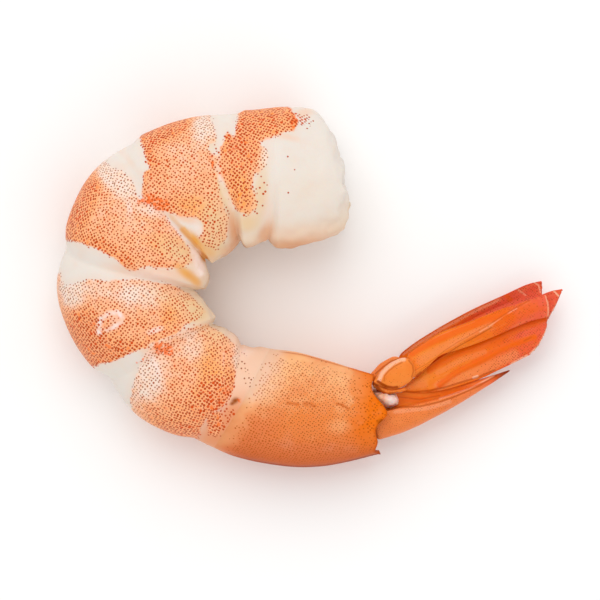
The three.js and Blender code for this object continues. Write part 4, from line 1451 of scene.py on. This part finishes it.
class SHRIMP_OT_flesh(bpy.types.Operator):
    """Builds the peeled body, from its torn neck end to the flesh inside the last shell"""

    bl_idname = "shrimp.flesh"
    bl_label = "Peeled Flesh"
    bl_options = {"REGISTER", "UNDO"}

    def execute(self, context):
        look = context.scene.shrimp_flesh
        opening = np.sin(np.linspace(0, 1, NECK_ROWS) * math.pi / 2)
        closing = np.cos(np.linspace(0, 1, END_ROWS) * math.pi / 2)
        stations = np.concatenate([
            round_end_at(opening, NECK_CAP),
            np.linspace(NECK_CAP, max(SHELL_FRONT), OPEN_ROWS)[1:],
            np.linspace(max(SHELL_FRONT), FLESH_END - FLESH_END_CAP, COVERED_ROWS)[1:],
            FLESH_END - round_end_at(closing, FLESH_END_CAP)[1:],
        ])
        row, turn = all_round(stations, BODY_COLUMNS)
        share = np.abs(turn) / math.pi
        station = row + smooth_at(NECK_START, share) * (1 - ease(0, 1, row))
        front = smooth_at(SHELL_FRONT, share)
        under = ease(front + 0.01, front + 0.15, station) * SHELL_COVER
        size = round_end(row, NECK_CAP) * round_end(FLESH_END - station, FLESH_END_CAP)
        smooth = body_points(station, turn, under, size)
        _, to_crease = relief_of_segments(station, share)
        fields = flesh_fields(smooth, station, share, front)
        torn = look.tear / MM * (1 - 0.75 * ease(0.05, 0.3, station)) * (1 - ease(0.3, 0.9, station))
        relief = torn * (soft_noise(smooth, 2.2, 1) + 0.5 * soft_noise(smooth, 0.9, 2))
        relief += look.wrinkle / MM * (soft_noise(smooth, 3.0, 3) + 0.4 * soft_noise(smooth, 1.1, 4))
        relief += look.skin_step / MM * ease(-0.25, 0.15, fields["pigment"])
        relief += BELLY_LUMPS * soft_noise(smooth, 1.4, 5) * ease(0.62, 0.8, share)
        relief += SCAR_HEIGHT * (fields["milky"] + fields["rust"])
        relief -= CREASE_LINE * ridge(to_crease, 0.03) * ease(0.62, 0.78, share)
        relief *= 1 - ease(front - 0.3, front, station)
        points = smooth + surface_normals(smooth) * relief[..., None]
        points[..., 0] = np.minimum(points[..., 0], torn_edge(points))
        points[..., 2] = np.maximum(points[..., 2], under)
        mesh = swept_mesh("flesh_surface", points, fields, smooth)
        add_piece("flesh_surface", mesh, cooked_skin(look), "flesh", "flesh")
        return {"FINISHED"}


class SHRIMP_OT_tail_shell(bpy.types.Operator):
    """Builds the shell of the last segment, with its keel, rims and lobed rear edge"""

    bl_idname = "shrimp.tail_shell"
    bl_label = "Last Shell"
    bl_options = {"REGISTER", "UNDO"}

    def execute(self, context):
        look = context.scene.shrimp_shell
        wall = look.wall / MM
        outer = np.linspace(0, 1, SHELL_ROWS)
        along, turn = all_round(np.concatenate([outer, outer[::-1][1:-1], [0.0]]), BODY_COLUMNS)
        share = np.abs(turn) / math.pi
        inner = np.zeros(along.shape, bool)
        inner[SHELL_ROWS:-1] = True
        front = smooth_at(SHELL_FRONT, share)
        rear = smooth_at(SHELL_REAR, share)
        smooth = body_points(front + (rear - front) * along, turn)
        x, y, z = np.moveaxis(smooth, -1, 0)
        rim = ridge(1 - along, RIM_WIDTH)
        pressed = streak_strength(SHELL_CREASES, x, y) * (z > SHELL_MIDDLE)
        fields = shell_fields(smooth, along, share, rim, pressed, inner)
        relief = SHELL_LUMPS * soft_noise(smooth, 3.0, 11) + RIM_HEIGHT * rim
        relief += KEEL_HEIGHT * ridge(share, 0.02)
        relief += SIDE_LINE_HEIGHT * ridge(share - SIDE_LINE, 0.015) * ease(0.1, 0.2, along)
        relief -= PRESSED_DEPTH * pressed
        relief = relief * ease(0, 0.15, along) - SHELL_TUCK * (1 - ease(0, 0.06, along))
        opened = wall * ease(0, 0.1, along)
        relief = np.where(inner, -opened - SHELL_TUCK, relief)
        points = smooth + surface_normals_outer(smooth) * relief[..., None]
        points[..., 2] = np.maximum(points[..., 2], np.where(inner, opened, 0.0))
        mesh = swept_mesh("tail_shell_surface", points, fields, smooth)
        add_piece("tail_shell_surface", mesh, cooked_shell(look), "shell", "tail_shell")
        return {"FINISHED"}


class SHRIMP_OT_telson(bpy.types.Operator):
    """Builds the telson, the pointed middle piece of the fan"""

    bl_idname = "shrimp.telson"
    bl_label = "Telson"
    bl_options = {"REGISTER", "UNDO"}

    def execute(self, context):
        look = context.scene.shrimp_fan
        count, columns = TELSON_GRID
        t, turn = all_round(np.linspace(0, 1, count), columns)
        rows, across = run_of(TELSON, t)
        sideways, up = np.cos(turn), np.sin(turn)
        size = round_end(t, 0.04, 3) * round_end(1 - t, 0.02, 2)
        fold_at = 0.35 * (1 - t)
        in_margin = ease(fold_at - 0.08, fold_at + 0.08, sideways) * (1 - ease(0.6, 0.9, t))
        full = np.abs(up) * rows[..., 4]
        half = full * (1 - in_margin) + np.minimum(full, 0.4) * in_margin
        smooth = rows[..., :3] + across * (sideways * rows[..., 3] * size)[..., None]
        smooth[..., 2] += np.sign(up) * half * size
        fields = fan_fields(
            "telson",
            smooth,
            0.35 + 0.4 * ease(0.2, 0.9, t) - 0.25 * in_margin,
            dotted=(1 - in_margin) * (1 - ease(0.5, 0.8, t)) * 0.8,
            dark=ease(0.84, 0.97, t) * 0.9,
            clear=0.55 * (1 - in_margin) * (1 - ease(0.75, 0.9, t)),
        )
        relief = (0.04 * soft_noise(smooth, 2.0, 21) + streak_relief(fields)) * size
        points = smooth + surface_normals(smooth) * relief[..., None]
        points[..., 2] = np.maximum(points[..., 2], 0)
        mesh = swept_mesh("telson_surface", points, fields, smooth)
        add_piece("telson_surface", mesh, cooked_fin(look), "fin", "telson")
        return {"FINISHED"}


class SHRIMP_OT_joint_tissue(bpy.types.Operator):
    """Builds the white joint tissue that shows between the shell and the fan"""

    bl_idname = "shrimp.joint_tissue"
    bl_label = "Joint Tissue"
    bl_options = {"REGISTER", "UNDO"}

    def execute(self, context):
        look = context.scene.shrimp_fan
        count, columns = TISSUE_GRID
        theta, turn = all_round(np.linspace(0, math.pi, count), columns)
        ball = np.stack([-np.cos(theta), np.sin(theta) * np.cos(turn), np.sin(theta) * np.sin(turn)], -1)
        points = ball * TISSUE_HALF
        lumps = 0.4 * soft_noise(points, 1.3, 31) + 0.15 * soft_noise(points, 0.5, 32)
        x, y, z = np.moveaxis(points + ball * lumps[..., None], -1, 0)
        cosine, sine = math.cos(TISSUE_TILT), math.sin(TISSUE_TILT)
        points = np.stack([x * cosine - y * sine, x * sine + y * cosine, z], -1) + TISSUE_CENTRE
        mesh = swept_mesh("joint_tissue", points, {"pinkish": 1 - ease(10.0, 11.3, points[..., 0])})
        add_piece("joint_tissue", mesh, joint_membrane(look), "flesh", "flesh")
        return {"FINISHED"}


class SHRIMP_OT_stalks(bpy.types.Operator):
    """Builds the two stalks that carry the blades of the fan, and the lobe under the near one"""

    bl_idname = "shrimp.stalks"
    bl_label = "Stalks"
    bl_options = {"REGISTER", "UNDO"}

    def execute(self, context):
        look = context.scene.shrimp_fan
        material = cooked_fin(look)
        count, columns = STALK_GRID
        t, turn = all_round(np.linspace(0, 1, count), columns)
        for name, stalk in STALKS.items():
            upper = along_line(on_curl(stalk["upper"]), t)
            lower = along_line(on_curl(stalk["lower"]), t)
            size = round_end(t, 0.03, 2) * round_end(1 - t, 0.05, 2)
            up = np.sin(turn)
            flat = (upper + lower) / 2 + (upper - lower) / 2 * (np.cos(turn) * size)[..., None]
            z = stalk["height"] + np.sign(up) * np.abs(up) ** 0.55 * stalk["half_thick"] * size
            smooth = np.concatenate([flat, z[..., None]], -1)
            tip = 0.05 + 0.1 * soft_noise(smooth, 2.0, 42)
            fields = fan_fields(name, smooth, tip, dotted=0.25, clear=0.15)
            relief = (0.05 * soft_noise(smooth, 1.4, 41) + streak_relief(fields)) * size
            points = smooth + surface_normals(smooth) * relief[..., None]
            mesh = swept_mesh(name + "_surface", points, fields, smooth)
            add_piece(name + "_surface", mesh, material, "fin", stalk.get("solid", name))
        return {"FINISHED"}


class SHRIMP_OT_blades(bpy.types.Operator):
    """Builds the four blades of the tail fan, with their ribs, margins and worn tips"""

    bl_idname = "shrimp.blades"
    bl_label = "Fan Blades"
    bl_options = {"REGISTER", "UNDO"}

    def execute(self, context):
        look = context.scene.shrimp_fan
        material = cooked_fin(look)
        count, columns = BLADE_GRID
        closer_at_ends = 0.5 - 0.5 * np.cos(np.linspace(0, math.pi, count))
        t, turn = all_round(0.5 * closer_at_ends + 0.5 * np.linspace(0, 1, count), columns)
        for seed, (name, blade) in enumerate(BLADES.items()):
            upper = along_line(on_curl(blade["upper"]), t)
            lower = along_line(on_curl(blade["lower"]), t)
            size = round_end(t, 0.06, 2) * round_end(1 - t, 0.012, 2.5)
            sideways = np.cos(turn) * size
            across = upper - lower
            widths = np.linalg.norm(across, axis=-1)
            flat = (upper + lower) / 2 + across / 2 * sideways[..., None]
            along = np.stack([across[..., 1], -across[..., 0]], -1) / np.maximum(widths, 1e-6)[..., None]
            ragged = 0.1 * soft_noise(np.stack([sideways * widths, 0 * t, 0 * t], -1), 0.3, 70 + seed)
            longer = blade["bulge"] * (1 - sideways**2) * ease(0.7, 1, t) + ragged * ease(0.9, 1, t)
            flat = flat + along * longer[..., None]
            from_rib = distance_to(on_curl(blade["rib"]), flat[..., 0], flat[..., 1])
            rib = ridge(from_rib, RIB_WIDTH) * (1 - ease(RIB_ENDS - 0.4, RIB_ENDS, t))
            from_edge = (1 - np.abs(np.cos(turn))) * widths / 2
            edge = ridge(from_edge, MARGIN_WIDTH)
            up = np.sign(np.sin(turn)) * np.abs(np.sin(turn)) ** 0.6
            z = smooth_at(blade["heights"], t)
            z = z + blade["face"] * (look.rib_height / MM * rib - MARGIN_SAG * np.cos(turn) ** 2) * size
            z = z + up * (look.blade_half / MM + MARGIN_BEAD * edge) * size
            smooth = np.concatenate([flat, z[..., None]], -1)
            streaky = soft_noise(np.stack([from_edge, from_rib, t * 4], -1), 0.35, 50 + seed)
            blotchy = 0.35 + 0.65 * ease(-0.2, 0.4, soft_noise(smooth, 3.0, 80 + seed))
            tip = 0.05 + 0.9 * ease(0.15, 1.0, t) + (0.3 if blade["face"] < 0 else 0.0)
            dotted = 0.9 * (1 - 0.7 * rib) * blotchy
            fields = fan_fields(name, smooth, tip, dotted=dotted, fibre=streaky, line=0.12 * edge)
            points = smooth.copy()
            points[..., 2] += (0.05 * soft_noise(smooth, 2.4, 60 + seed) + 0.012 * streaky) * size
            points[..., 2] += blade["face"] * streak_relief(fields) * size
            mesh = swept_mesh(name + "_surface", points, fields, smooth)
            add_piece(name + "_surface", mesh, material, "fin", name)
        return {"FINISHED"}


class SHRIMP_OT_studio(bpy.types.Operator):
    """Sets up the paper floor, the soft lights and the camera straight above the shrimp"""

    bl_idname = "shrimp.studio"
    bl_label = "Studio"
    bl_options = {"REGISTER", "UNDO"}

    def execute(self, context):
        look = context.scene.shrimp_studio
        scene = context.scene
        sheet = bmesh.new()
        bmesh.ops.create_grid(sheet, x_segments=1, y_segments=1, size=FLOOR_HALF)
        bmesh.ops.translate(sheet, verts=sheet.verts, vec=(0, 0, -FLOOR_GAP * MM))
        mesh = bpy.data.meshes.new("paper_floor")
        sheet.to_mesh(mesh)
        sheet.free()
        mesh.materials.append(studio_paper(look))
        floor = bpy.data.objects.new("paper_floor", mesh)
        scene.collection.objects.link(floor)

        middle = Vector((0, 0, look.focus_height))
        for name, power, size, place in (
            ("key_light", look.key_power, 0.7, (-0.12, 0.42, 0.62)),
            ("fill_light", look.fill_power, 0.6, (0.2, -0.5, 0.45)),
        ):
            lamp = bpy.data.lights.new(name, "AREA")
            lamp.energy = power
            lamp.size = size
            light = bpy.data.objects.new(name, lamp)
            light.location = place
            light.rotation_euler = (middle - Vector(place)).to_track_quat("-Z", "Y").to_euler()
            light.visible_camera = False
            scene.collection.objects.link(light)

        world = bpy.data.worlds.new("studio_room")
        world.use_nodes = True
        background = world.node_tree.nodes["Background"]
        background.inputs["Color"].default_value = (1.0, 1.0, 1.0, 1.0)
        background.inputs["Strength"].default_value = look.world_strength
        scene.world = world
        scene.view_settings.view_transform = "Standard"

        centre, = on_curl([(PICTURE_PIXELS / 2, PICTURE_PIXELS / 2)])
        lens = bpy.data.cameras.new("camera")
        lens.lens = look.lens
        distance = PICTURE_PIXELS / PIXELS_PER_MM * MM * lens.lens / lens.sensor_width
        camera = bpy.data.objects.new("camera", lens)
        camera.location = (*(centre + TO_PART[:2]) * MM, look.focus_height + distance)
        scene.collection.objects.link(camera)
        scene.camera = camera
        return {"FINISHED"}


class VIEW3D_PT_shrimp(bpy.types.Panel):
    """Sizes, colours and building steps of the shrimp"""

    bl_label = "Shrimp"
    bl_idname = "VIEW3D_PT_shrimp"
    bl_space_type = "VIEW_3D"
    bl_region_type = "UI"
    bl_category = "Shrimp"

    def draw(self, context):
        for key, steps in SETTINGS_AND_STEPS.items():
            box = self.layout.box()
            settings = getattr(context.scene, key)
            for name in settings.__annotations__:
                box.prop(settings, name)
            for step in steps:
                box.operator(step.bl_idname)


SETTINGS = {
    "shrimp_flesh": FleshSettings,
    "shrimp_shell": ShellSettings,
    "shrimp_fan": FanSettings,
    "shrimp_studio": StudioSettings,
}
SETTINGS_AND_STEPS = {
    "shrimp_flesh": (SHRIMP_OT_flesh,),
    "shrimp_shell": (SHRIMP_OT_tail_shell,),
    "shrimp_fan": (SHRIMP_OT_telson, SHRIMP_OT_joint_tissue, SHRIMP_OT_stalks, SHRIMP_OT_blades),
    "shrimp_studio": (SHRIMP_OT_studio,),
}
CLASSES = (*SETTINGS.values(), *itertools.chain(*SETTINGS_AND_STEPS.values()), VIEW3D_PT_shrimp)


def register():
    for made in CLASSES:
        bpy.utils.register_class(made)
    for key, group in SETTINGS.items():
        setattr(bpy.types.Scene, key, PointerProperty(type=group))


def unregister():
    for key in SETTINGS:
        delattr(bpy.types.Scene, key)
    for made in reversed(CLASSES):
        bpy.utils.unregister_class(made)


def main():
    register()
    bpy.ops.shrimp.flesh()
    bpy.ops.shrimp.tail_shell()
    bpy.ops.shrimp.telson()
    bpy.ops.shrimp.joint_tissue()
    bpy.ops.shrimp.stalks()
    bpy.ops.shrimp.blades()
    bpy.ops.shrimp.studio()


if __name__ == "__main__":
    main()
